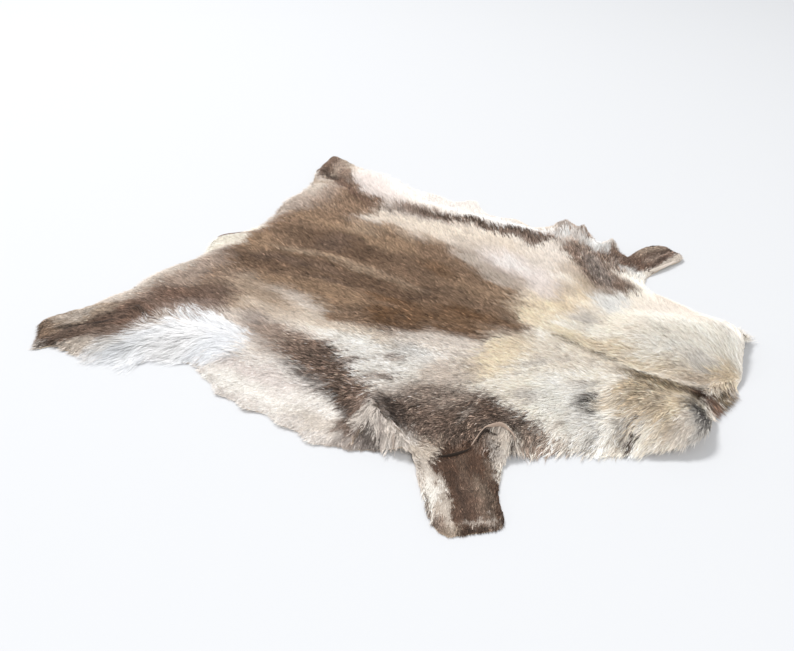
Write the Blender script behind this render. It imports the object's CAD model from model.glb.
"""The looks of a reindeer hide that lies hair side up on a pale studio floor.

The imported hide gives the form. A thin tanned skin follows its underside, a closed layer of
underfur fills most of its coat, and the hair itself is made strand by strand, region by
region, along the way the coat grows. Lengths are in metres and headings in degrees from the
neck's direction, turning to the animal's left side.
"""

import logging
import math
from dataclasses import dataclass, field
from enum import Enum

import bmesh
import bpy
import numpy as np
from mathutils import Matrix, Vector, bvhtree, kdtree


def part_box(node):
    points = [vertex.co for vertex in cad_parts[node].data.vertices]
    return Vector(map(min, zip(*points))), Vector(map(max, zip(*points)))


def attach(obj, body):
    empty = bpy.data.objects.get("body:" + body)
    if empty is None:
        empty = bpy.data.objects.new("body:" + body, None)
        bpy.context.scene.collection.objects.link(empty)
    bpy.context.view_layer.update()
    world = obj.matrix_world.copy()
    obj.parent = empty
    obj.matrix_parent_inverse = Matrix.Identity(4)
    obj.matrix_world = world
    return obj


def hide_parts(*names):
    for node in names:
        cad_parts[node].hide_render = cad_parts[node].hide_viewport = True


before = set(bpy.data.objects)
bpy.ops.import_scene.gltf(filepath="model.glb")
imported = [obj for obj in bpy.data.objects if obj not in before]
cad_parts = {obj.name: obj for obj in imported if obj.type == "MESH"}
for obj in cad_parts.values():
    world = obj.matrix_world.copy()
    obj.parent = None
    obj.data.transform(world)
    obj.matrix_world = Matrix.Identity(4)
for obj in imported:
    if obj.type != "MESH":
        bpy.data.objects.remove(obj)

log = logging.getLogger("reindeer_hide")

Array = np.ndarray
Colour = tuple[float, float, float]

BODY = "root"
NODE = "hide"
MID_BACK = (-0.011, 0.037)  # where the tables below count from, in the frame
COLOUR_LAYER = "coat_colour"  # the attribute that carries the colour of hair
BAKE_MAP = "OFBake"  # the map that a bake uses
PALE_TONE = 0.6  # the linear tone from which hair is wholly pale


def linear(code: str) -> Colour:
    """Turns a colour as it is seen into one that the renderer counts with.

    Args:
        code: Red, green and blue as six hexadecimal digits.

    Returns:
        The colour in linear light.
    """
    seen = (int(code[i : i + 2], 16) / 255 for i in (0, 2, 4))
    return tuple(((c + 0.055) / 1.055) ** 2.4 if c > 0.04045 else c / 12.92 for c in seen)


def smooth_step(value: Array) -> Array:
    """Eases a value from 0 to 1, and holds it outside that range."""
    held = np.clip(value, 0.0, 1.0)
    return held * held * (3.0 - 2.0 * held)


def darkness(colours: Array) -> Array:
    """How dark colours are, from 0 for pale hair to 1 for the darkest."""
    return 1.0 - smooth_step(colours.mean(axis=1) / PALE_TONE)


@dataclass(frozen=True)
class Ripple:
    """A smooth noise over the plane.

    Attributes:
        size: Distance over which it changes.
        seed: Which of the many such noises it is.
    """

    size: float
    seed: int

    PRIMES = (374761393, 668265263, 2246822519, 1274126177)  # they scatter the corners' values
    WORD, HALF_WORD = 0xFFFFFFFF, 0xFFFF
    FIRST_SHIFT, LAST_SHIFT = 13, 16  # bits that the scattered values are shifted by

    def corner(self, column: Array, row: Array) -> Array:
        """Reads the chance values at the corners of the cells.

        Args:
            column: Numbers of the cells' columns.
            row: Numbers of their rows.

        Returns:
            Values from -1 to 1.
        """
        by_column, by_row, by_seed, by_mix = self.PRIMES
        mixed = column.astype(np.int64) * by_column + row.astype(np.int64) * by_row
        mixed = (mixed + self.seed * by_seed) & self.WORD
        mixed = ((mixed ^ (mixed >> self.FIRST_SHIFT)) * by_mix) & self.WORD
        mixed = (mixed ^ (mixed >> self.LAST_SHIFT)) & self.HALF_WORD
        return mixed / (self.HALF_WORD / 2) - 1.0

    def at(self, x: Array, y: Array) -> Array:
        """Reads the noise.

        Args:
            x: Places along X.
            y: Places along Y.

        Returns:
            Values from -1 to 1.
        """
        across, up = x / self.size, y / self.size
        column, row = np.floor(across), np.floor(up)
        u, v = smooth_step(across - column), smooth_step(up - row)
        low = self.corner(column, row) * (1 - u) + self.corner(column + 1, row) * u
        high = self.corner(column, row + 1) * (1 - u) + self.corner(column + 1, row + 1) * u
        return low * (1 - v) + high * v


@dataclass(frozen=True)
class Spot:
    """An oval place on the hide.

    Attributes:
        x: Its middle along the spine, from the mid-back.
        y: Its middle across the hide, from the mid-back.
        heading: Which way it runs.
        length: Half its length.
        width: Half its width.
    """

    x: float
    y: float
    heading: float
    length: float
    width: float

    SQUARE = 2.6  # 2 is a true oval, and more fills out its corners

    def distance(self, x: Array, y: Array) -> Array:
        """Measures how far places lie from the middle.

        Args:
            x: Places along the spine, from the mid-back.
            y: Places across the hide, from the mid-back.

        Returns:
            The distances, counted so that the oval's edge is at 1.
        """
        turn = math.radians(self.heading)
        dx, dy = x - self.x, y - self.y
        along = (dx * math.cos(turn) + dy * math.sin(turn)) / self.length
        across = (dy * math.cos(turn) - dx * math.sin(turn)) / self.width
        return (np.abs(along) ** self.SQUARE + np.abs(across) ** self.SQUARE) ** (1 / self.SQUARE)

    def share(self, x: Array, y: Array, soft: float) -> Array:
        """How much of a place belongs to the oval: 1 inside, 0 outside, over an edge this soft."""
        return smooth_step((1.0 + soft / 2 - self.distance(x, y)) / soft)

    def near(self, x: Array, y: Array, soft: float) -> Array:
        """Which places may belong to the oval at all, as their numbers."""
        reach = max(self.length, self.width) * (1.0 + soft / 2)
        return np.nonzero((np.abs(x - self.x) < reach) & (np.abs(y - self.y) < reach))[0]


class Shade(Enum):
    """The coat's colours."""

    SADDLE = "8c735e"
    WARM_TAN = "a3886e"
    DARK_BAND = "705947"
    WARM_BROWN = "74573e"
    DEEP_BROWN = "735f52"
    RUMP = "a79384"
    RUMP_EDGE = "cdc1b5"
    PALE_BAND = "e6dcd2"
    BEIGE = "e2d5c6"
    CREAM = "fbf2e5"
    YELLOW_CREAM = "ebd8ba"
    IVORY = "faf5ed"
    COOL_IVORY = "e4e3e0"
    WHITE = "f6f4f2"
    PINK_WHITE = "e9dfd9"
    BELLY = "eee6df"
    FAN = "ebecee"
    FAN_GREY = "cfd0d0"
    FORELEG = "634c3e"
    SEAM = "ab957f"
    OLIVE = "bba88d"
    DARK_OLIVE = "786852"
    GREY = "b6b2ae"
    SLATE = "544f4b"
    FLANK_STRIPE = "7e6a5d"
    FLANK_GREY = "ac9f96"
    LEG_BROWN = "765e50"
    LEG_DARK = "4a3c33"
    LEG_TAN = "b4a18e"
    LEG_PALE = "d6cabd"
    CURL = "d2c8be"
    SLIT = "2b221c"


@dataclass(frozen=True)
class Marking(Spot):
    """A coloured place on the coat.

    Attributes:
        shade: Its colour.
        soft: How gradual its edge is, as a share of its size.
        strength: How fully it covers what is under it.
        crisp: Whether it keeps its shape, as a fine line does, where others have ragged edges.
    """

    shade: Shade
    soft: float = 0.4
    strength: float = 1.0
    crisp: bool = False


@dataclass(frozen=True)
class Growth(Spot):
    """A place where the hair grows in its own way.

    Attributes:
        hair: Length of its strands.
        lift: How steeply they leave the skin, from 0 for flat to 1 for upright.
        clump: How far they draw together into locks, from 0 to 1.
        wave: How far they swing from side to side.
        soft: How gradual its edge is, as a share of its size.
        tick: How strongly the wisps and the strands differ in tone.
    """

    hair: float
    lift: float
    clump: float
    wave: float = 0.0
    soft: float = 0.5
    tick: float = 1.0


@dataclass(frozen=True)
class Flow:
    """The way the hair lies at one place.

    Attributes:
        x: The place along the spine, from the mid-back.
        y: The place across the hide, from the mid-back.
        heading: Where the hair's tips point.
    """

    x: float
    y: float
    heading: float


@dataclass(frozen=True)
class Crease(Spot):
    """A ridge of the hide, finer than its main folds.

    Attributes:
        height: Its height, or below 0 the depth of a trough.
    """

    height: float


# Each row of the tables is a marking, with a marking's values in their order. A later marking
# covers an earlier one.

NECK_MARKINGS = tuple(Marking(*row) for row in (
    (0.46, -0.04, 0, 0.25, 0.42, Shade.CREAM, 0.3),
    (0.43, 0.1, -10, 0.14, 0.06, Shade.BEIGE, 0.9, 0.35),
    (0.26, 0.06, 70, 0.1, 0.05, Shade.YELLOW_CREAM, 0.9, 0.7),
    (0.25, -0.15, 80, 0.08, 0.045, Shade.YELLOW_CREAM, 0.9, 0.7),
    (0.31, 0.17, -60, 0.05, 0.02, Shade.YELLOW_CREAM, 0.9, 0.8),
    (0.45, -0.01, 0, 0.18, 0.022, Shade.YELLOW_CREAM, 0.8, 0.6),
    (0.63, -0.006, 20, 0.055, 0.022, Shade.LEG_TAN, 0.9, 0.6),
    (0.371, 0.15, -38, 0.05, 0.034, Shade.COOL_IVORY, 0.9, 0.9),
    (0.55, 0.18, 0, 0.12, 0.05, Shade.PALE_BAND, 0.9, 0.7),
    (0.56, 0.07, -15, 0.12, 0.05, Shade.IVORY, 0.9, 0.5),
    (0.515, 0.016, -5, 0.08, 0.026, Shade.IVORY, 0.9, 0.6),
    (0.63, 0.16, 80, 0.05, 0.03, Shade.COOL_IVORY, 0.9, 0.5),
    (0.25, 0.14, 20, 0.045, 0.032, Shade.LEG_TAN, 0.9, 0.6),
    (0.28, 0.09, 30, 0.04, 0.018, Shade.OLIVE, 1.0, 0.3),
    (0.41, -0.13, 80, 0.05, 0.022, Shade.WHITE, 0.9, 0.8),
    (0.43, -0.165, -50, 0.11, 0.07, Shade.CREAM, 0.9, 1.0),
    (0.415, -0.225, -50, 0.08, 0.045, Shade.IVORY, 0.9, 1.0),
    (0.59, -0.19, -30, 0.05, 0.03, Shade.IVORY, 0.9, 0.8),
    (0.64, -0.195, -40, 0.04, 0.02, Shade.IVORY, 0.9, 0.8),
    (0.5, -0.243, -25, 0.032, 0.018, Shade.IVORY, 0.9, 0.8),
    (0.622, -0.208, 60, 0.038, 0.024, Shade.LEG_TAN, 0.9, 0.5),
    (0.36, -0.09, 20, 0.07, 0.04, Shade.LEG_TAN, 1.0, 0.22),
    (0.555, -0.11, 80, 0.065, 0.05, Shade.OLIVE, 0.6, 0.85),
    (0.52, -0.16, 70, 0.05, 0.03, Shade.OLIVE, 0.9, 0.6),
    (0.562, -0.09, -18, 0.062, 0.026, Shade.DARK_OLIVE, 0.9, 0.9),
    (0.585, -0.115, -10, 0.03, 0.014, Shade.DARK_OLIVE, 0.9, 0.6),
    (0.505, -0.072, -35, 0.03, 0.01, Shade.DARK_OLIVE, 0.9, 0.7),
    (0.43, -0.052, -8, 0.11, 0.014, Shade.OLIVE, 0.9, 0.3),
    (0.52, -0.085, -15, 0.06, 0.018, Shade.DARK_OLIVE, 0.9, 0.45),
    (0.36, -0.032, -10, 0.03, 0.006, Shade.DARK_OLIVE, 0.9, 0.8),
    (0.425, -0.04, -8, 0.04, 0.006, Shade.DARK_OLIVE, 0.9, 0.75),
    (0.487, -0.049, -10, 0.03, 0.009, Shade.DARK_OLIVE, 0.9, 0.85),
    (0.62, -0.055, 22, 0.035, 0.01, Shade.DARK_OLIVE, 0.8, 0.95),
    (0.648, -0.048, 0, 0.03, 0.011, Shade.LEG_DARK, 0.8, 0.95),
    (0.636, -0.078, -30, 0.026, 0.014, Shade.LEG_BROWN, 0.8, 0.8),
    (0.66, -0.075, -72, 0.03, 0.012, Shade.LEG_BROWN, 0.8, 0.9),
    (0.56, -0.066, -10, 0.07, 0.008, Shade.DARK_OLIVE, 0.9, 0.8),
    (0.672, -0.03, 80, 0.03, 0.012, Shade.SLATE, 0.9, 0.5),
    (0.595, -0.155, 80, 0.06, 0.018, Shade.YELLOW_CREAM, 0.9, 0.7),
    (0.556, -0.196, -28, 0.04, 0.024, Shade.OLIVE, 0.7, 0.85),
    (0.592, -0.23, 30, 0.026, 0.012, Shade.OLIVE, 0.9, 0.5),
    (0.65, -0.205, 60, 0.03, 0.008, Shade.GREY, 0.9, 0.6),
    (0.634, -0.152, -35, 0.045, 0.022, Shade.GREY, 0.9, 0.8),
    (0.631, -0.143, -20, 0.022, 0.012, Shade.SLATE, 0.9, 0.9),
    (0.648, -0.16, -60, 0.02, 0.007, Shade.SLATE, 0.9, 0.7),
    (0.6, 0.016, 10, 0.028, 0.012, Shade.GREY, 0.9, 0.5),
    (0.556, -0.012, -10, 0.02, 0.008, Shade.GREY, 0.9, 0.4),
    (0.65, 0.016, 80, 0.032, 0.024, Shade.YELLOW_CREAM, 0.9, 0.7),
    (0.663, -0.022, 80, 0.022, 0.012, Shade.LEG_BROWN, 0.8, 0.85),
    (0.656, -0.046, 75, 0.034, 0.016, Shade.DARK_OLIVE, 0.6, 0.95, True),
    (0.636, -0.06, 10, 0.03, 0.014, Shade.LEG_BROWN, 0.8, 0.8),
    (0.648, -0.07, -60, 0.024, 0.012, Shade.LEG_BROWN, 0.7, 0.9, True),
    (0.5, 0.215, -25, 0.07, 0.014, Shade.LEG_PALE, 0.9, 0.7),
    (0.508, 0.059, -38, 0.012, 0.002, Shade.SLATE, 0.9, 0.6, True),
    (0.352, 0.07, -30, 0.035, 0.018, Shade.GREY, 0.9, 0.5),
    (0.365, 0.045, -55, 0.02, 0.008, Shade.GREY, 0.9, 0.45),
    (0.41, -0.25, -70, 0.06, 0.036, Shade.IVORY, 0.9, 0.75),
    (0.35, -0.24, 10, 0.025, 0.014, Shade.GREY, 0.9, 0.55),
    (0.305, -0.155, 30, 0.035, 0.007, Shade.GREY, 0.9, 0.4),
    (0.34, -0.12, 45, 0.035, 0.008, Shade.GREY, 0.9, 0.35),
    (0.4, -0.12, 60, 0.02, 0.006, Shade.GREY, 0.9, 0.5),
    (0.312, -0.185, 80, 0.02, 0.006, Shade.GREY, 0.9, 0.4),
    (0.428, -0.165, -75, 0.026, 0.008, Shade.GREY, 0.9, 0.55),
    (0.452, -0.198, -55, 0.036, 0.014, Shade.GREY, 0.9, 0.65),
    (0.462, -0.203, -52, 0.026, 0.011, Shade.SLATE, 0.8, 1.0),
    (0.448, -0.186, -75, 0.016, 0.006, Shade.LEG_DARK, 0.8, 0.9),
    (0.478, -0.222, -62, 0.028, 0.006, Shade.SLATE, 0.9, 0.6),
    (0.47, -0.255, -62, 0.035, 0.008, Shade.GREY, 0.9, 0.7),
    (0.492, -0.3, -58, 0.03, 0.008, Shade.SLATE, 0.9, 0.55),
    (0.532, -0.238, 80, 0.026, 0.014, Shade.GREY, 0.9, 0.6),
    (0.534, -0.248, -60, 0.022, 0.008, Shade.SLATE, 0.9, 0.6),
    (0.545, -0.256, -55, 0.024, 0.009, Shade.LEG_DARK, 0.7, 1.0),
    (0.52, -0.26, -80, 0.024, 0.007, Shade.DARK_OLIVE, 0.9, 0.7),
    (0.48, -0.345, 20, 0.03, 0.01, Shade.GREY, 0.9, 0.6),
    (0.47, 0.243, 0, 0.025, 0.008, Shade.GREY, 0.9, 0.7),
    (0.49, 0.125, 85, 0.02, 0.005, Shade.GREY, 0.9, 0.5),
    (0.215, -0.032, -28, 0.065, 0.036, Shade.SADDLE, 0.7, 0.9),
    (0.2, -0.04, -20, 0.035, 0.012, Shade.WARM_BROWN, 0.9, 0.6),
))

BACK_MARKINGS = tuple(Marking(*row) for row in (
    (-0.15, 0.015, 0, 0.385, 0.185, Shade.SADDLE, 0.3),
    (-0.38, 0.02, 0, 0.135, 0.19, Shade.SADDLE, 0.25),
    (-0.03, -0.12, 5, 0.13, 0.085, Shade.SADDLE, 0.4, 0.9),
    (0.12, 0.0, -8, 0.13, 0.1, Shade.SADDLE, 0.45),
    (-0.06, 0.17, -60, 0.05, 0.025, Shade.SADDLE, 0.9, 0.8),
    (0.03, 0.155, -22, 0.09, 0.05, Shade.SADDLE, 0.6, 0.85),
    (0.185, -0.03, -20, 0.07, 0.05, Shade.SADDLE, 0.6, 0.85),
    (-0.05, -0.205, 12, 0.1, 0.034, Shade.SADDLE, 0.6, 0.85),
    (0.19, 0.07, 20, 0.07, 0.04, Shade.SEAM, 1.0, 0.4),
    (-0.36, 0.155, -5, 0.1, 0.028, Shade.WARM_TAN, 0.9, 0.75),
    (-0.17, 0.135, 0, 0.07, 0.028, Shade.WARM_TAN, 0.9, 0.7),
    (-0.46, -0.02, 0, 0.05, 0.035, Shade.WARM_TAN, 0.9, 0.6),
    (-0.17, -0.125, 3, 0.09, 0.03, Shade.WARM_TAN, 0.9, 0.75),
    (-0.29, -0.145, 5, 0.07, 0.022, Shade.WARM_TAN, 0.9, 0.7),
    (-0.14, -0.175, -10, 0.07, 0.018, Shade.SEAM, 0.9, 0.8),
    (0.14, -0.09, 0, 0.08, 0.022, Shade.WARM_TAN, 0.9, 0.5),
    (0.15, 0.045, 0, 0.08, 0.035, Shade.WARM_TAN, 0.9, 0.5),
    (0.03, 0.055, 0, 0.04, 0.025, Shade.WARM_TAN, 1.0, 0.35),
    (-0.27, 0.06, 0, 0.13, 0.046, Shade.DARK_BAND, 0.6, 0.9),
    (-0.29, 0.06, -60, 0.05, 0.03, Shade.DEEP_BROWN, 0.9, 0.6),
    (-0.09, 0.05, 0, 0.11, 0.04, Shade.DARK_BAND, 0.9, 0.45),
    (-0.46, 0.06, 0, 0.06, 0.03, Shade.DARK_BAND, 0.9, 0.35),
    (-0.24, -0.055, 4, 0.16, 0.033, Shade.DARK_BAND, 0.5, 0.65),
    (-0.22, -0.045, 4, 0.07, 0.015, Shade.DEEP_BROWN, 0.9, 0.4),
    (-0.42, -0.105, 2, 0.1, 0.03, Shade.DARK_BAND, 0.5, 0.9),
    (-0.08, -0.045, 0, 0.09, 0.02, Shade.DARK_BAND, 0.8, 0.8),
    (0.015, -0.02, -40, 0.04, 0.024, Shade.DARK_BAND, 0.8, 0.9),
    (-0.008, -0.06, 80, 0.03, 0.01, Shade.LEG_DARK, 0.9, 0.6),
    (0.15, -0.045, 4, 0.09, 0.016, Shade.WARM_BROWN, 0.8, 0.9),
    (0.03, -0.115, 70, 0.05, 0.035, Shade.WARM_BROWN, 0.9, 0.75),
    (-0.055, -0.145, 80, 0.04, 0.012, Shade.WARM_BROWN, 0.9, 0.7),
    (-0.01, -0.18, -10, 0.04, 0.012, Shade.WARM_BROWN, 0.9, 0.7),
    (0.045, -0.165, -40, 0.03, 0.012, Shade.DARK_BAND, 0.9, 0.6),
    (-0.13, -0.16, -15, 0.05, 0.008, Shade.SADDLE, 0.9, 0.7),
    (-0.02, -0.18, 8, 0.13, 0.026, Shade.SADDLE, 0.6, 0.9),
    (0.12, -0.12, 14, 0.08, 0.024, Shade.SADDLE, 0.6, 0.9),
    (0.015, -0.15, 5, 0.07, 0.03, Shade.WARM_BROWN, 0.6, 0.95),
    (0.13, -0.11, 14, 0.05, 0.012, Shade.WARM_BROWN, 0.9, 0.7),
    (-0.04, -0.085, 6, 0.05, 0.018, Shade.WARM_BROWN, 0.8, 0.8),
    (0.1, -0.08, 10, 0.06, 0.02, Shade.WARM_BROWN, 0.8, 0.7),
    (-0.02, 0.08, -20, 0.06, 0.02, Shade.WARM_BROWN, 0.9, 0.6),
    (-0.2, -0.085, 8, 0.04, 0.01, Shade.DEEP_BROWN, 0.9, 0.6),
    (-0.36, -0.07, 5, 0.07, 0.016, Shade.DEEP_BROWN, 0.9, 0.6),
    (-0.04, -0.05, 0, 0.045, 0.016, Shade.DARK_BAND, 0.9, 0.9),
    (0.0, -0.022, 60, 0.026, 0.018, Shade.LEG_DARK, 0.9, 0.4),
    (-0.27, -0.012, 2, 0.14, 0.0095, Shade.SEAM, 0.6, 1.0),
    (-0.23, -0.006, 2, 0.08, 0.006, Shade.WARM_TAN, 0.9, 0.5),
    (-0.1, -0.014, -2, 0.1, 0.009, Shade.SEAM, 0.9, 0.55),
    (-0.505, 0.04, 90, 0.08, 0.02, Shade.RUMP, 0.9, 0.8),
))

LEFT_MARKINGS = tuple(Marking(*row) for row in (
    (-0.05, 0.255, 2, 0.26, 0.05, Shade.BEIGE, 0.7, 0.9),
    (0.0, 0.225, 0, 0.06, 0.025, Shade.RUMP_EDGE, 0.9, 0.6),
    (0.12, 0.12, -15, 0.07, 0.025, Shade.RUMP_EDGE, 0.9, 0.7),
    (0.135, 0.19, -10, 0.1, 0.042, Shade.PINK_WHITE, 0.9, 0.85),
    (0.12, 0.185, -10, 0.05, 0.02, Shade.WHITE, 0.9, 0.35),
    (0.22, 0.14, -40, 0.05, 0.025, Shade.PINK_WHITE, 0.9, 0.8),
    (0.19, 0.28, 0, 0.08, 0.06, Shade.PALE_BAND, 0.8, 0.8),
    (-0.08, 0.436, 0, 0.32, 0.08, Shade.BELLY, 0.25),
    (-0.05, 0.383, 3, 0.2, 0.02, Shade.WHITE, 0.9, 0.7),
    (0.08, 0.425, 0, 0.06, 0.025, Shade.BEIGE, 0.9, 0.7),
    (-0.18, 0.306, 2, 0.11, 0.032, Shade.FLANK_GREY, 0.8, 0.85),
    (-0.17, 0.318, 5, 0.11, 0.022, Shade.FLANK_STRIPE, 0.7, 0.8),
    (-0.02, 0.334, 6, 0.18, 0.022, Shade.FLANK_STRIPE, 0.6, 0.95),
    (-0.04, 0.341, 8, 0.17, 0.011, Shade.LEG_DARK, 0.8, 0.95),
    (0.125, 0.338, 10, 0.04, 0.022, Shade.FLANK_STRIPE, 0.7, 0.9),
    (0.13, 0.345, 10, 0.03, 0.008, Shade.LEG_DARK, 0.8, 0.7),
    (0.155, 0.378, 80, 0.03, 0.01, Shade.LEG_BROWN, 0.9, 0.8),
    (-0.4, 0.27, 80, 0.11, 0.08, Shade.SADDLE, 0.5, 0.95),
    (-0.38, 0.29, -22, 0.1, 0.05, Shade.SADDLE, 0.6, 0.8),
    (-0.27, 0.168, 30, 0.055, 0.028, Shade.SEAM, 0.9, 0.75),
    (-0.345, 0.228, 20, 0.055, 0.022, Shade.SADDLE, 0.8, 0.85),
    (-0.205, 0.203, 15, 0.055, 0.018, Shade.WARM_TAN, 0.9, 0.7),
    (-0.15, 0.178, -30, 0.03, 0.016, Shade.SEAM, 0.9, 0.8),
    (-0.095, 0.205, -15, 0.04, 0.012, Shade.SEAM, 0.9, 0.6),
    (0.025, 0.17, -20, 0.05, 0.022, Shade.RUMP_EDGE, 0.9, 0.8),
    (-0.36, 0.3, -20, 0.06, 0.025, Shade.DARK_BAND, 0.9, 0.6),
    (-0.5, 0.26, 80, 0.14, 0.05, Shade.RUMP, 0.8, 0.8),
    (-0.535, 0.15, 95, 0.18, 0.022, Shade.RUMP_EDGE, 0.8, 0.5),
    (-0.53, 0.3, 95, 0.05, 0.022, Shade.LEG_PALE, 0.8, 0.8),
    (-0.545, 0.21, 90, 0.08, 0.03, Shade.RUMP, 0.9, 0.35),
    (-0.4, 0.362, -24, 0.1, 0.02, Shade.FLANK_STRIPE, 0.7, 0.9),
    (-0.365, 0.415, -38, 0.125, 0.062, Shade.PINK_WHITE, 0.3, 0.95),
    (-0.35, 0.43, -38, 0.08, 0.03, Shade.WHITE, 0.9, 0.7),
    (-0.56, 0.46, -50, 0.11, 0.052, Shade.LEG_TAN, 0.5, 0.9),
    (-0.545, 0.45, -50, 0.09, 0.018, Shade.RUMP, 0.9, 0.8),
    (-0.595, 0.455, -72, 0.08, 0.02, Shade.LEG_BROWN, 0.8, 0.9),
    (-0.53, 0.396, -30, 0.08, 0.012, Shade.LEG_DARK, 0.7, 0.95),
    (-0.43, 0.34, -24, 0.12, 0.012, Shade.LEG_BROWN, 0.8, 0.9),
    (-0.498, 0.412, -35, 0.05, 0.02, Shade.LEG_BROWN, 0.8, 0.65),
    (-0.555, 0.355, -20, 0.05, 0.014, Shade.LEG_TAN, 0.8, 0.8),
    (0.115, 0.42, 10, 0.05, 0.028, Shade.LEG_PALE, 0.8, 0.9),
    (0.19, 0.425, 10, 0.05, 0.03, Shade.FLANK_GREY, 0.8, 0.9),
    (0.205, 0.43, -40, 0.04, 0.016, Shade.RUMP, 0.8, 0.8),
    (0.175, 0.395, 60, 0.03, 0.012, Shade.COOL_IVORY, 0.8, 0.9),
    (0.245, 0.376, -32, 0.045, 0.018, Shade.COOL_IVORY, 0.8, 0.95),
    (0.252, 0.43, 80, 0.04, 0.008, Shade.WHITE, 0.6, 0.9, True),
    (0.296, 0.375, 80, 0.045, 0.026, Shade.DEEP_BROWN, 0.7, 0.9),
    (0.28, 0.418, 10, 0.026, 0.018, Shade.LEG_PALE, 0.8, 0.9),
    (0.276, 0.425, 10, 0.018, 0.012, Shade.COOL_IVORY, 0.8, 0.9),
    (0.228, 0.428, 70, 0.026, 0.01, Shade.DEEP_BROWN, 0.8, 0.7),
    (0.292, 0.228, -40, 0.08, 0.042, Shade.LEG_TAN, 0.9, 0.75),
    (0.285, 0.29, -45, 0.12, 0.045, Shade.RUMP, 0.6, 0.8),
    (0.3, 0.276, -45, 0.11, 0.042, Shade.DEEP_BROWN, 0.6, 0.85),
    (0.24, 0.305, -42, 0.055, 0.024, Shade.DEEP_BROWN, 0.8, 0.8),
    (0.31, 0.27, -45, 0.08, 0.026, Shade.GREY, 0.9, 0.25),
    (0.385, 0.225, -30, 0.035, 0.03, Shade.DEEP_BROWN, 0.6, 0.85),
    (0.31, 0.37, 80, 0.05, 0.022, Shade.DEEP_BROWN, 0.5, 0.95),
    (0.36, 0.35, 75, 0.06, 0.03, Shade.DEEP_BROWN, 0.5, 0.95),
    (0.385, 0.428, 62, 0.085, 0.05, Shade.LEG_BROWN, 0.3, 0.95),
    (0.375, 0.455, 60, 0.05, 0.014, Shade.LEG_TAN, 0.9, 0.7),
    (0.395, 0.425, 62, 0.05, 0.01, Shade.RUMP, 0.9, 0.7),
    (0.412, 0.47, 62, 0.03, 0.008, Shade.LEG_DARK, 0.9, 0.8, True),
    (0.372, 0.474, 45, 0.03, 0.006, Shade.LEG_DARK, 0.9, 0.7, True),
    (0.408, 0.395, 70, 0.05, 0.005, Shade.LEG_DARK, 0.9, 0.6, True),
    (0.378, 0.322, -20, 0.035, 0.02, Shade.COOL_IVORY, 0.8, 0.55),
    (0.268, 0.368, -25, 0.026, 0.016, Shade.COOL_IVORY, 0.8, 0.85),
    (0.432, 0.395, 66, 0.06, 0.009, Shade.LEG_PALE, 0.6, 0.9),
))

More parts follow.
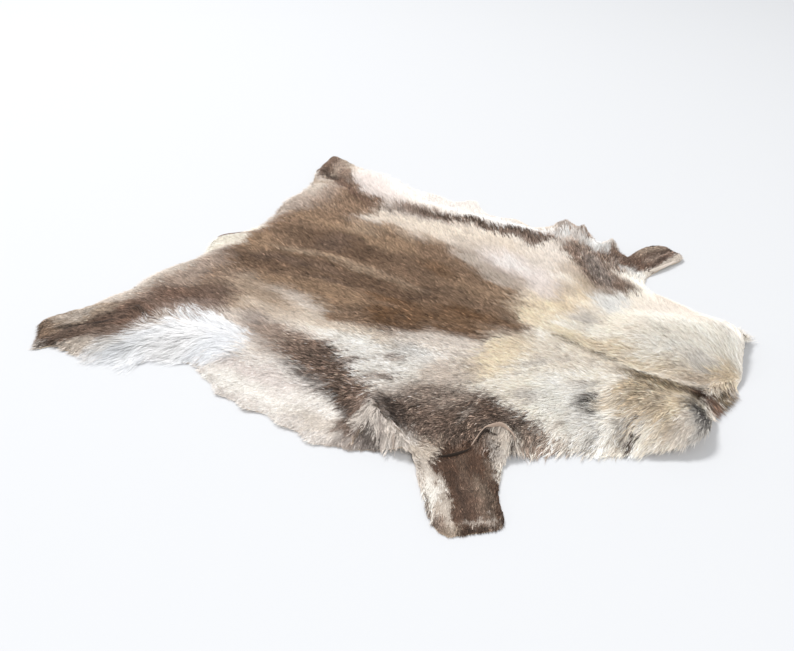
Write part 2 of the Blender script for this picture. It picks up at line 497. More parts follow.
RIGHT_MARKINGS = tuple(Marking(*row) for row in (
    (-0.1, -0.235, -2, 0.18, 0.03, Shade.BEIGE, 0.8, 0.9),
    (-0.31, -0.23, -15, 0.12, 0.06, Shade.SEAM, 0.8, 0.9),
    (-0.23, -0.26, -15, 0.08, 0.03, Shade.BEIGE, 0.9, 0.6),
    (-0.05, -0.255, 0, 0.08, 0.016, Shade.IVORY, 0.9, 0.8),
    (0.12, -0.19, -8, 0.1, 0.05, Shade.PALE_BAND, 0.9, 0.9),
    (0.09, -0.24, 0, 0.05, 0.03, Shade.COOL_IVORY, 0.9, 0.6),
    (0.1, -0.33, -15, 0.1, 0.045, Shade.PALE_BAND, 0.8, 0.9),
    (0.06, -0.295, -8, 0.1, 0.045, Shade.IVORY, 0.9, 0.75),
    (0.03, -0.32, 0, 0.03, 0.02, Shade.IVORY, 0.9, 0.7),
    (0.19, -0.26, 60, 0.08, 0.045, Shade.LEG_TAN, 1.0, 0.3),
    (0.02, -0.15, 8, 0.06, 0.022, Shade.WARM_BROWN, 0.7, 0.9, True),
    (-0.1, -0.47, -3, 0.33, 0.085, Shade.BELLY, 0.3),
    (-0.12, -0.435, -3, 0.16, 0.022, Shade.PINK_WHITE, 0.9, 0.9),
    (-0.16, -0.48, -10, 0.08, 0.02, Shade.IVORY, 0.9, 0.7),
    (-0.03, -0.49, 5, 0.06, 0.016, Shade.IVORY, 0.9, 0.6),
    (0.0, -0.445, 0, 0.07, 0.02, Shade.IVORY, 0.9, 0.6),
    (0.05, -0.485, 10, 0.08, 0.022, Shade.LEG_PALE, 0.9, 0.6),
    (0.125, -0.505, 25, 0.05, 0.018, Shade.FLANK_GREY, 0.9, 0.8),
    (-0.18, -0.33, -12, 0.07, 0.035, Shade.FLANK_GREY, 0.9, 0.8),
    (-0.218, -0.304, -15, 0.055, 0.026, Shade.FLANK_GREY, 0.8, 0.9),
    (-0.182, -0.32, -20, 0.045, 0.022, Shade.RUMP, 0.8, 0.8),
    (-0.09, -0.338, -10, 0.07, 0.042, Shade.RUMP, 0.5, 0.95),
    (-0.06, -0.345, -12, 0.09, 0.04, Shade.FLANK_STRIPE, 0.5, 0.95),
    (0.012, -0.368, -24, 0.08, 0.038, Shade.FLANK_STRIPE, 0.4, 0.95),
    (0.07, -0.413, -50, 0.06, 0.036, Shade.FLANK_STRIPE, 0.4, 0.95),
    (0.088, -0.462, -70, 0.036, 0.022, Shade.FLANK_STRIPE, 0.5, 0.8),
    (-0.08, -0.3, 0, 0.05, 0.012, Shade.DEEP_BROWN, 0.9, 0.6),
    (-0.05, -0.396, -14, 0.08, 0.01, Shade.LEG_DARK, 0.9, 0.75, True),
    (0.05, -0.425, -40, 0.06, 0.012, Shade.LEG_DARK, 0.9, 0.75, True),
    (0.105, -0.47, -50, 0.04, 0.016, Shade.LEG_BROWN, 0.9, 0.7),
    (0.086, -0.32, 20, 0.024, 0.012, Shade.FLANK_STRIPE, 0.9, 0.8, True),
    (0.074, -0.257, 10, 0.024, 0.009, Shade.FLANK_GREY, 0.9, 0.9, True),
    (0.004, -0.315, 30, 0.022, 0.01, Shade.FLANK_GREY, 0.8, 0.9, True),
    (0.065, -0.345, 0, 0.012, 0.005, Shade.FLANK_GREY, 0.9, 0.6),
    (-0.02, -0.437, -80, 0.006, 0.003, Shade.RUMP, 0.9, 0.7),
    (-0.001, -0.453, -80, 0.006, 0.003, Shade.RUMP, 0.9, 0.7),
    (0.24, -0.35, 10, 0.11, 0.065, Shade.RUMP, 0.7, 0.85),
    (0.22, -0.39, 6, 0.12, 0.045, Shade.DEEP_BROWN, 0.7, 0.8),
    (0.28, -0.33, 60, 0.06, 0.035, Shade.DEEP_BROWN, 0.8, 0.7),
    (0.34, -0.31, -10, 0.08, 0.028, Shade.DEEP_BROWN, 0.6, 0.9),
    (0.35, -0.315, -14, 0.04, 0.014, Shade.LEG_DARK, 0.9, 0.6),
    (0.27, -0.335, 60, 0.03, 0.008, Shade.RUMP_EDGE, 0.9, 0.4),
    (0.275, -0.425, 30, 0.045, 0.016, Shade.LEG_BROWN, 0.9, 0.8),
    (0.245, -0.43, 20, 0.025, 0.01, Shade.LEG_TAN, 0.9, 0.7),
    (0.15, -0.402, -40, 0.035, 0.01, Shade.LEG_DARK, 0.9, 0.7),
    (0.415, -0.335, 20, 0.05, 0.02, Shade.RUMP, 0.8, 0.8),
    (0.435, -0.34, 22, 0.05, 0.014, Shade.DEEP_BROWN, 0.9, 0.75),
    (-0.5, -0.23, 85, 0.13, 0.06, Shade.RUMP, 0.6, 0.9),
    (-0.482, -0.335, 70, 0.06, 0.036, Shade.LEG_BROWN, 0.8, 0.85),
    (-0.534, -0.325, 75, 0.06, 0.028, Shade.RUMP, 0.9, 0.9),
    (-0.43, -0.2, 80, 0.09, 0.035, Shade.SADDLE, 0.8, 0.8),
    (-0.42, -0.27, 30, 0.07, 0.03, Shade.LEG_BROWN, 0.8, 0.8),
    (-0.56, -0.26, 88, 0.13, 0.026, Shade.RUMP_EDGE, 0.8, 0.9),
    (-0.592, -0.39, 78, 0.09, 0.022, Shade.RUMP_EDGE, 0.8, 0.7),
    (-0.415, -0.318, 18, 0.1, 0.056, Shade.LEG_BROWN, 0.7, 0.85),
    (-0.49, -0.47, 52, 0.1, 0.04, Shade.DEEP_BROWN, 0.5, 0.95),
    (-0.365, -0.477, 62, 0.14, 0.059, Shade.FAN, 0.25),
    (-0.299, -0.398, -20, 0.083, 0.045, Shade.FAN, 0.3),
    (-0.262, -0.362, -25, 0.05, 0.032, Shade.FAN, 0.4, 0.9),
    (-0.355, -0.452, 62, 0.1, 0.04, Shade.WHITE, 0.9, 0.6),
    (-0.42, -0.548, 20, 0.07, 0.032, Shade.FAN, 0.5, 0.9),
    (-0.44, -0.5, 40, 0.05, 0.025, Shade.FAN_GREY, 0.9, 0.6),
    (-0.565, -0.47, 55, 0.12, 0.055, Shade.DEEP_BROWN, 0.35),
    (-0.512, -0.452, 46, 0.05, 0.02, Shade.LEG_DARK, 0.9, 0.7),
    (-0.49, -0.4, 5, 0.06, 0.022, Shade.LEG_BROWN, 0.6, 0.9),
    (-0.5, -0.44, 10, 0.05, 0.018, Shade.LEG_BROWN, 0.6, 0.9),
    (-0.6, -0.47, 62, 0.09, 0.026, Shade.LEG_TAN, 0.6, 0.95),
    (-0.604, -0.468, 60, 0.05, 0.013, Shade.RUMP_EDGE, 0.9, 0.8),
    (-0.553, -0.474, 42, 0.083, 0.01, Shade.LEG_DARK, 0.8, 0.95, True),
    (-0.5, -0.397, -12, 0.03, 0.006, Shade.LEG_DARK, 0.9, 0.85, True),
    (-0.462, -0.41, -30, 0.03, 0.007, Shade.LEG_DARK, 0.9, 0.85, True),
    (-0.628, -0.545, 60, 0.032, 0.024, Shade.SADDLE, 0.8, 0.8),
    (-0.59, -0.568, 30, 0.04, 0.01, Shade.LEG_DARK, 0.9, 0.45),
    (-0.64, -0.548, -60, 0.04, 0.006, Shade.LEG_DARK, 0.9, 0.7, True),
    (-0.53, -0.548, 30, 0.05, 0.022, Shade.LEG_PALE, 0.6, 0.9),
    (0.356, -0.497, -55, 0.12, 0.07, Shade.FORELEG, 0.3),
    (0.365, -0.51, -55, 0.05, 0.018, Shade.LEG_BROWN, 0.9, 0.6),
    (0.397, -0.512, -55, 0.055, 0.014, Shade.LEG_TAN, 0.9, 0.55),
    (0.395, -0.545, -52, 0.04, 0.03, Shade.LEG_BROWN, 0.9, 0.6),
    (0.374, -0.428, -62, 0.035, 0.012, Shade.LEG_TAN, 0.8, 0.25),
    (0.345, -0.47, -50, 0.06, 0.012, Shade.LEG_TAN, 0.9, 0.15),
    (0.335, -0.578, -42, 0.035, 0.012, Shade.RUMP, 0.6, 0.8),
    (0.318, -0.568, -45, 0.035, 0.005, Shade.LEG_DARK, 0.9, 0.7, True),
    (0.297, -0.515, -44, 0.062, 0.018, Shade.LEG_PALE, 0.5, 0.85),
    (0.304, -0.525, -46, 0.042, 0.011, Shade.IVORY, 0.8, 0.85),
    (0.355, -0.569, -52, 0.038, 0.01, Shade.LEG_TAN, 0.8, 0.9),
    (0.345, -0.559, -52, 0.03, 0.007, Shade.LEG_PALE, 0.9, 0.9, True),
    (0.36, -0.53, -52, 0.06, 0.005, Shade.LEG_DARK, 0.9, 0.5, True),
    (0.395, -0.505, -55, 0.05, 0.005, Shade.LEG_DARK, 0.9, 0.5, True),
    (0.368, -0.496, 50, 0.02, 0.003, Shade.LEG_DARK, 0.9, 0.5, True),
    (0.402, -0.546, 38, 0.032, 0.004, Shade.RUMP_EDGE, 0.9, 0.7, True),
    (0.413, -0.56, 38, 0.045, 0.008, Shade.LEG_DARK, 0.8, 0.9, True),
    (0.15, -0.487, -35, 0.032, 0.014, Shade.LEG_DARK, 0.7, 0.7),
    (0.116, -0.452, 25, 0.027, 0.016, Shade.CURL, 0.4, 0.95),
    (0.144, -0.455, -42, 0.034, 0.017, Shade.CURL, 0.4, 0.95),
    (0.182, -0.468, -35, 0.03, 0.02, Shade.CURL, 0.4, 0.95),
    (0.21, -0.47, -10, 0.026, 0.016, Shade.CURL, 0.4, 0.95),
    (0.244, -0.462, 20, 0.03, 0.016, Shade.BEIGE, 0.4, 0.95),
    (0.122, -0.488, 60, 0.014, 0.005, Shade.LEG_TAN, 0.9, 0.8, True),
    (0.135, -0.44, -70, 0.014, 0.004, Shade.RUMP_EDGE, 0.9, 0.7, True),
    (0.16, -0.462, -50, 0.02, 0.004, Shade.FLANK_GREY, 0.9, 0.7, True),
    (0.196, -0.48, -60, 0.014, 0.004, Shade.RUMP, 0.9, 0.7, True),
    (0.364, -0.386, -20, 0.032, 0.015, Shade.CURL, 0.5, 0.95),
    (0.357, -0.39, -60, 0.012, 0.004, Shade.LEG_DARK, 0.8, 0.9, True),
    (0.378, -0.378, -60, 0.012, 0.003, Shade.LEG_DARK, 0.8, 0.9, True),
    (-0.552, -0.058, 48, 0.062, 0.04, Shade.CREAM, 0.35, 1.0, True),
    (-0.528, 0.035, 40, 0.034, 0.022, Shade.CREAM, 0.5, 0.95, True),
    (-0.532, -0.008, 52, 0.02, 0.006, Shade.RUMP, 0.8, 0.8, True),
))

MARKINGS = BACK_MARKINGS + NECK_MARKINGS + LEFT_MARKINGS + RIGHT_MARKINGS

GROWTHS = tuple(Growth(*row) for row in (
    (0.46, 0.0, 0, 0.24, 0.3, 0.018, 0.34, 0.12, 0.0, 0.4, 1.2),
    (0.5, 0.13, 0, 0.2, 0.12, 0.019, 0.36, 0.12, 0.0, 0.5, 0.5),
    (0.39, -0.235, -25, 0.09, 0.05, 0.018, 0.34, 0.14, 0.0, 0.6, 0.3),
    (0.15, 0.2, -15, 0.16, 0.09, 0.018, 0.36, 0.1, 0.0, 0.5, 0.7),
    (0.55, -0.11, 70, 0.08, 0.06, 0.018, 0.38, 0.2, 0.001, 0.6, 2.3),
    (0.61, -0.18, 70, 0.1, 0.05, 0.02, 0.34, 0.25, 0.001, 0.6, 1.2),
    (0.5, -0.25, -60, 0.1, 0.05, 0.024, 0.3, 0.38, 0.002, 0.8, 1.5),
    (0.5, -0.32, 22, 0.16, 0.032, 0.034, 0.28, 0.75, 0.004, 0.8, 1.6),
    (0.628, 0.168, 90, 0.06, 0.04, 0.046, 0.44, 0.5, 0.005, 0.6, 0.6),
    (0.47, -0.018, -6, 0.18, 0.018, 0.022, 0.42, 0.3, 0.001, 0.8, 1.0),
    (0.66, -0.04, 80, 0.04, 0.014, 0.024, 0.22, 0.12, 0.001, 0.5, 1.0),
    (0.08, -0.26, 0, 0.16, 0.08, 0.016, 0.34, 0.15, 0.001, 0.6, 2.2),
    (0.15, -0.27, 0, 0.06, 0.05, 0.017, 0.34, 0.15, 0.001, 0.6, 1.0),
    (0.22, -0.36, 0, 0.17, 0.09, 0.016, 0.36, 0.2, 0.001, 0.5, 1.7),
    (0.0, -0.37, -20, 0.18, 0.06, 0.016, 0.38, 0.2, 0.001, 0.6, 2.0),
    (-0.1, -0.48, 0, 0.3, 0.06, 0.01, 0.18, 0.08, 0.0, 0.4, 1.0),
    (-0.08, 0.43, 0, 0.26, 0.06, 0.012, 0.3, 0.2, 0.001, 0.5, 0.8),
    (-0.38, -0.46, 62, 0.15, 0.07, 0.04, 0.31, 0.38, 0.004, 0.3, 0.15),
    (-0.305, -0.385, -20, 0.1, 0.05, 0.036, 0.3, 0.38, 0.004, 0.3, 0.15),
    (-0.38, 0.43, -30, 0.14, 0.06, 0.034, 0.4, 0.5, 0.003, 0.5, 0.35),
    (-0.56, -0.2, 90, 0.2, 0.04, 0.018, 0.25, 0.2, 0.001, 0.8, 1.0),
    (-0.54, 0.2, 90, 0.2, 0.04, 0.018, 0.25, 0.2, 0.001, 0.8, 1.0),
    (-0.55, -0.045, 50, 0.07, 0.05, 0.014, 0.3, 0.2, 0.001, 0.5, 0.35),
    (-0.6, -0.5, 52, 0.12, 0.06, 0.012, 0.18, 0.15, 0.0, 0.5, 1.0),
    (-0.57, 0.45, 115, 0.1, 0.06, 0.01, 0.18, 0.15, 0.0, 0.5, 1.2),
    (0.36, -0.51, -52, 0.12, 0.065, 0.0105, 0.16, 0.1, 0.0, 0.3, 0.7),
    (0.385, -0.585, -52, 0.04, 0.06, 0.006, 0.12, 0.1, 0.0, 0.5, 0.7),
    (0.3, -0.52, -45, 0.065, 0.016, 0.0105, 0.16, 0.1, 0.0, 0.5, 0.25),
    (0.3, 0.3, -45, 0.12, 0.06, 0.017, 0.4, 0.15, 0.0, 0.5, 1.6),
    (0.395, 0.41, 68, 0.1, 0.06, 0.009, 0.18, 0.15, 0.0, 0.4, 1.2),
    (0.13, -0.446, -20, 0.04, 0.026, 0.014, 0.6, 0.7, 0.005, 0.5, 1.0),
    (0.19, -0.468, -25, 0.04, 0.022, 0.015, 0.5, 0.75, 0.005, 0.5, 1.2),
    (0.244, -0.462, 20, 0.032, 0.016, 0.012, 0.5, 0.7, 0.004, 0.5, 0.5),
    (0.12, -0.485, 60, 0.02, 0.012, 0.014, 0.3, 0.8, 0.003, 0.5, 1.5),
    (0.155, -0.488, -30, 0.03, 0.012, 0.007, 0.1, 0.2, 0.0, 0.5, 1.0),
    (0.365, -0.386, -20, 0.034, 0.02, 0.013, 0.5, 0.75, 0.004, 0.5, 0.6),
    (0.292, -0.436, 50, 0.035, 0.01, 0.007, 0.08, 0.0, 0.0, 0.8, 1.0),
    (0.2, 0.43, 10, 0.1, 0.036, 0.018, 0.42, 0.6, 0.003, 0.5, 1.2),
))

FLOWS = tuple(Flow(*row) for row in (
    (0.6, 0.02, 178), (0.45, 0.0, 190), (0.36, -0.012, 203), (0.44, -0.018, 210),
    (0.52, -0.03, 213), (0.6, -0.035, 216), (0.668, -0.035, 335), (0.662, -0.075, 320),
    (0.25, 0.0, 180), (0.0, 0.0, 180), (-0.25, 0.0, 180), (-0.45, 0.0, 180),
    (-0.55, -0.05, 205), (0.64, 0.1, 165), (0.65, 0.16, 68), (0.67, -0.15, 275),
    (0.6, 0.14, 160), (0.55, 0.22, 120), (0.45, 0.15, 155), (0.45, 0.24, 120),
    (0.3, 0.15, 158), (0.3, 0.28, 140), (0.35, 0.35, 95), (0.4, 0.43, 68),
    (0.42, 0.48, 68), (0.15, 0.2, 155), (0.15, 0.35, 135), (0.17, 0.44, 110),
    (0.0, 0.2, 158), (0.0, 0.35, 135), (0.0, 0.43, 120), (-0.2, 0.2, 160),
    (-0.2, 0.35, 138), (-0.2, 0.44, 125), (-0.38, 0.2, 162), (-0.38, 0.32, 150),
    (-0.36, 0.45, 118), (-0.5, 0.3, 158), (-0.56, 0.42, 130), (-0.6, 0.5, 122),
    (-0.54, 0.15, 175), (0.58, -0.12, 195), (0.6, -0.22, 240), (0.55, -0.28, 262),
    (0.48, -0.2, 225), (0.45, -0.31, 255), (0.4, -0.1, 200), (0.3, -0.15, 205),
    (0.34, -0.28, 235), (0.3, -0.38, 285), (0.33, -0.46, 305), (0.38, -0.56, 305),
    (0.22, -0.36, 245), (0.28, -0.32, 248), (0.105, -0.445, 218), (0.125, -0.435, 235),
    (0.145, -0.445, 285), (0.165, -0.46, 300), (0.19, -0.475, 285), (0.215, -0.47, 330),
    (0.245, -0.462, 350), (0.12, -0.485, 275), (0.365, -0.39, 285), (0.385, -0.375, 310),
    (0.15, -0.2, 203), (0.05, -0.33, 212), (0.05, -0.48, 232), (-0.1, -0.2, 200),
    (-0.1, -0.35, 212), (-0.12, -0.48, 232), (-0.25, -0.2, 198), (-0.26, -0.34, 190),
    (-0.28, -0.42, 250), (-0.33, -0.345, 165), (-0.36, -0.44, 225), (-0.4, -0.5, 268),
    (-0.39, -0.36, 160), (-0.45, -0.41, 160), (-0.45, -0.47, 205), (-0.47, -0.54, 250),
    (-0.42, -0.22, 196), (-0.52, -0.22, 192), (-0.52, -0.36, 215), (-0.57, -0.47, 232),
    (-0.62, -0.53, 235),
))

CREASES = tuple(Crease(*row) for row in (
    (0.115, -0.436, -60, 0.028, 0.016, 0.007),
    (0.15, -0.452, -30, 0.035, 0.014, 0.01),
    (0.135, -0.425, -40, 0.05, 0.006, -0.006),
    (0.195, -0.468, -30, 0.03, 0.013, 0.008),
    (0.228, -0.48, -8, 0.03, 0.012, 0.008),
    (0.205, -0.448, -38, 0.04, 0.006, -0.005),
    (0.326, -0.384, 85, 0.022, 0.008, 0.009),
    (0.345, -0.354, 15, 0.02, 0.008, 0.01),
    (0.372, -0.368, -40, 0.022, 0.009, 0.009),
    (0.346, -0.378, -40, 0.014, 0.008, -0.01),
    (0.295, -0.438, 50, 0.03, 0.005, -0.007),
    (-0.25, -0.003, 1, 0.2, 0.012, 0.003),
    (0.47, -0.19, -58, 0.04, 0.014, -0.01),
    (0.54, -0.262, -62, 0.03, 0.012, -0.012),
    (0.59, -0.23, -80, 0.03, 0.012, 0.006),
    (0.5, -0.24, -70, 0.04, 0.018, 0.006),
    (0.43, -0.29, -60, 0.04, 0.016, 0.005),
    (0.615, -0.12, 70, 0.04, 0.015, 0.006),
    (-0.56, -0.465, 55, 0.06, 0.01, -0.006),
    (-0.552, -0.05, 45, 0.05, 0.022, 0.011),
    (-0.525, 0.04, 40, 0.03, 0.018, 0.005),
    (-0.505, -0.4, 20, 0.026, 0.01, 0.006),
    (-0.53, 0.4, 140, 0.11, 0.01, -0.007),
    (-0.385, -0.385, 15, 0.07, 0.01, -0.008),
    (-0.06, -0.33, -12, 0.12, 0.012, -0.003),
    (0.395, 0.425, 66, 0.06, 0.008, -0.004),
    (0.15, 0.438, 5, 0.03, 0.01, 0.01),
    (0.205, 0.44, 60, 0.022, 0.01, 0.01),
    (0.255, 0.43, 80, 0.026, 0.006, -0.01),
    (0.285, 0.42, 80, 0.026, 0.009, 0.008),
))

BARE_ENDS = (  # the cut ends of the legs, whose rim has no locks
    Spot(-0.6, -0.53, 50, 0.09, 0.08),
    Spot(-0.58, 0.48, 130, 0.09, 0.08),
    Spot(0.37, -0.54, -52, 0.1, 0.09),
    Spot(0.41, 0.42, 65, 0.11, 0.07),
)


@dataclass(frozen=True)
class Fold:
    """A narrow roll of the skin's edge, or a slit, that runs along a curve placed by hand.

    Attributes:
        shade: Its colour.
        width: Its width at the middle.
        height: How high it stands over the underfur.
        path: Places that it runs through, from the mid-back.
    """

    shade: Shade
    width: float
    height: float
    path: tuple[tuple[float, float], ...]


FOLDS = (
    Fold(
        Shade.SLIT, 0.0042, 0.005,
        ((0.268, -0.466), (0.289, -0.441), (0.305, -0.423), (0.318, -0.411)),
    ),
    Fold(
        Shade.SLIT, 0.005, 0.004,
        ((0.321, -0.406), (0.323, -0.39), (0.333, -0.373), (0.349, -0.367)),
    ),
    Fold(
        Shade.RUMP, 0.0045, 0.008,
        ((0.314, -0.416), (0.317, -0.392), (0.327, -0.366), (0.345, -0.357), (0.366, -0.362),
         (0.384, -0.376)),
    ),
    Fold(
        Shade.LEG_BROWN, 0.005, 0.0058,
        ((-0.565, -0.064), (-0.555, -0.046), (-0.543, -0.028), (-0.526, -0.01)),
    ),
    Fold(Shade.LEG_PALE, 0.006, 0.006, ((0.402, 0.345), (0.424, 0.385), (0.446, 0.43))),
    Fold(Shade.WHITE, 0.005, 0.007, ((0.262, 0.397), (0.257, 0.414), (0.257, 0.43))),
    Fold(
        Shade.LEG_DARK, 0.005, 0.006,
        ((-0.512, -0.392), (-0.495, -0.395), (-0.478, -0.404), (-0.468, -0.418)),
    ),
)


class Markings:
    """The coat's colours, place by place."""

    GROUND = Shade.PALE_BAND  # what shows where no marking lies
    RAGGED = 0.013  # how far the edges of the markings wander
    FINE = 0.6  # how much their finer wandering adds to the wider
    CRISP = 0.15  # how much of that a crisp marking takes part in
    STREAK = 0.010  # how far single tufts carry a colour past an edge
    TUFT_GRAIN = 0.35  # how much slower the tufts change along the spine than across it
    TUFT_ASIDE = 0.5  # how far they carry it across the hide, as a share of how far along

    def __init__(self) -> None:
        """Prepares the noises that break up the edges and the tone."""
        self.drift = (Ripple(0.055, 1), Ripple(0.055, 2), Ripple(0.018, 3), Ripple(0.018, 4))
        self.tuft = Ripple(0.0045, 5)

    def at(self, x: Array, y: Array) -> Array:
        """Reads the coat's colour.

        Args:
            x: Places along the spine, from the mid-back.
            y: Places across the hide, from the mid-back.

        Returns:
            Linear colours, one row for each place.
        """
        wide_x, wide_y, fine_x, fine_y = (ripple.at(x, y) for ripple in self.drift)
        tuft = self.tuft.at(x * self.TUFT_GRAIN, y) * self.STREAK
        move_x = self.RAGGED * (wide_x + self.FINE * fine_x) + tuft
        move_y = self.RAGGED * (wide_y + self.FINE * fine_y) + self.TUFT_ASIDE * tuft
        places = {
            False: (x + move_x, y + move_y),
            True: (x + self.CRISP * move_x, y + self.CRISP * move_y),
        }
        colour = np.tile(np.array(linear(self.GROUND.value)), (len(x), 1))
        for marking in MARKINGS:
            moved_x, moved_y = places[marking.crisp]
            near = marking.near(moved_x, moved_y, marking.soft)
            share = marking.share(moved_x[near], moved_y[near], marking.soft)
            added = np.array(linear(marking.shade.value)) - colour[near]
            colour[near] += added * (marking.strength * share)[:, None]
        return colour


class HairLie:
    """How the hair grows and lies, place by place."""

    FIBRE = Ripple(0.0028, 13)  # chance tone of the tufts
    RUN, STEPS = 0.0026, 5  # a streak is the tone averaged over this many steps along the hair
    STREAK_GAIN = 1.4  # brings the averaged tone back to about -1 to 1
    BACK = Growth(0, 0, 0, 1, 1, 0.017, 0.34, 0.10)  # the growth where the table says nothing
    REACH = 0.075  # how far a flow point holds sway
    FALL = 1.5  # how fast its weight falls past that
    BLUNT = 0.02  # keeps its weight finite at its own place
    TURN = 8.0  # how far tufts turn from the flow, in degrees
    FINE_TURN = 0.8  # how much their finer turning adds to the wider

    def __init__(self) -> None:
        """Prepares the noise that turns the tufts."""
        self.turns = (Ripple(0.035, 11), Ripple(0.012, 12))

    def growth(self, x: Array, y: Array) -> dict[str, Array]:
        """Reads the hair's length, lift, clump, wave and tick.

        Args:
            x: Places along the spine, from the mid-back.
            y: Places across the hide, from the mid-back.

        Returns:
            One array for each of the five.
        """
        names = ("hair", "lift", "clump", "wave", "tick")
        found = {name: np.full(len(x), getattr(self.BACK, name)) for name in names}
        for place in GROWTHS:
            near = place.near(x, y, place.soft)
            share = place.share(x[near], y[near], place.soft)
            for name, values in found.items():
                values[near] += (getattr(place, name) - values[near]) * share
        return found

    def heading(self, x: Array, y: Array) -> Array:
        """Reads where the hair's tips point.

        Args:
            x: Places along the spine, from the mid-back.
            y: Places across the hide, from the mid-back.

        Returns:
            The headings, in radians.
        """
        east, north = np.zeros(len(x)), np.zeros(len(x))
        for flow in FLOWS:
            apart = (x - flow.x) ** 2 + (y - flow.y) ** 2
            weight = 1.0 / (apart / self.REACH**2 + self.BLUNT) ** self.FALL
            turn = math.radians(flow.heading)
            east += weight * math.cos(turn)
            north += weight * math.sin(turn)
        wide, fine = (ripple.at(x, y) for ripple in self.turns)
        tufts = wide + self.FINE_TURN * fine
        return np.arctan2(north, east) + math.radians(self.TURN) * tufts

    def streak(self, x: Array, y: Array, heading: Array) -> Array:
        """Reads a noise that is drawn out along the hair.

        Args:
            x: Places along the spine, from the mid-back.
            y: Places across the hide, from the mid-back.
            heading: Where the hair's tips point there.

        Returns:
            Values of about -1 to 1.
        """
        total = np.zeros(len(x))
        for step in range(self.STEPS):
            way = (step - self.STEPS / 2) * self.RUN
            total += self.FIBRE.at(x + way * np.cos(heading), y + way * np.sin(heading))
        return total / math.sqrt(self.STEPS) * self.STREAK_GAIN


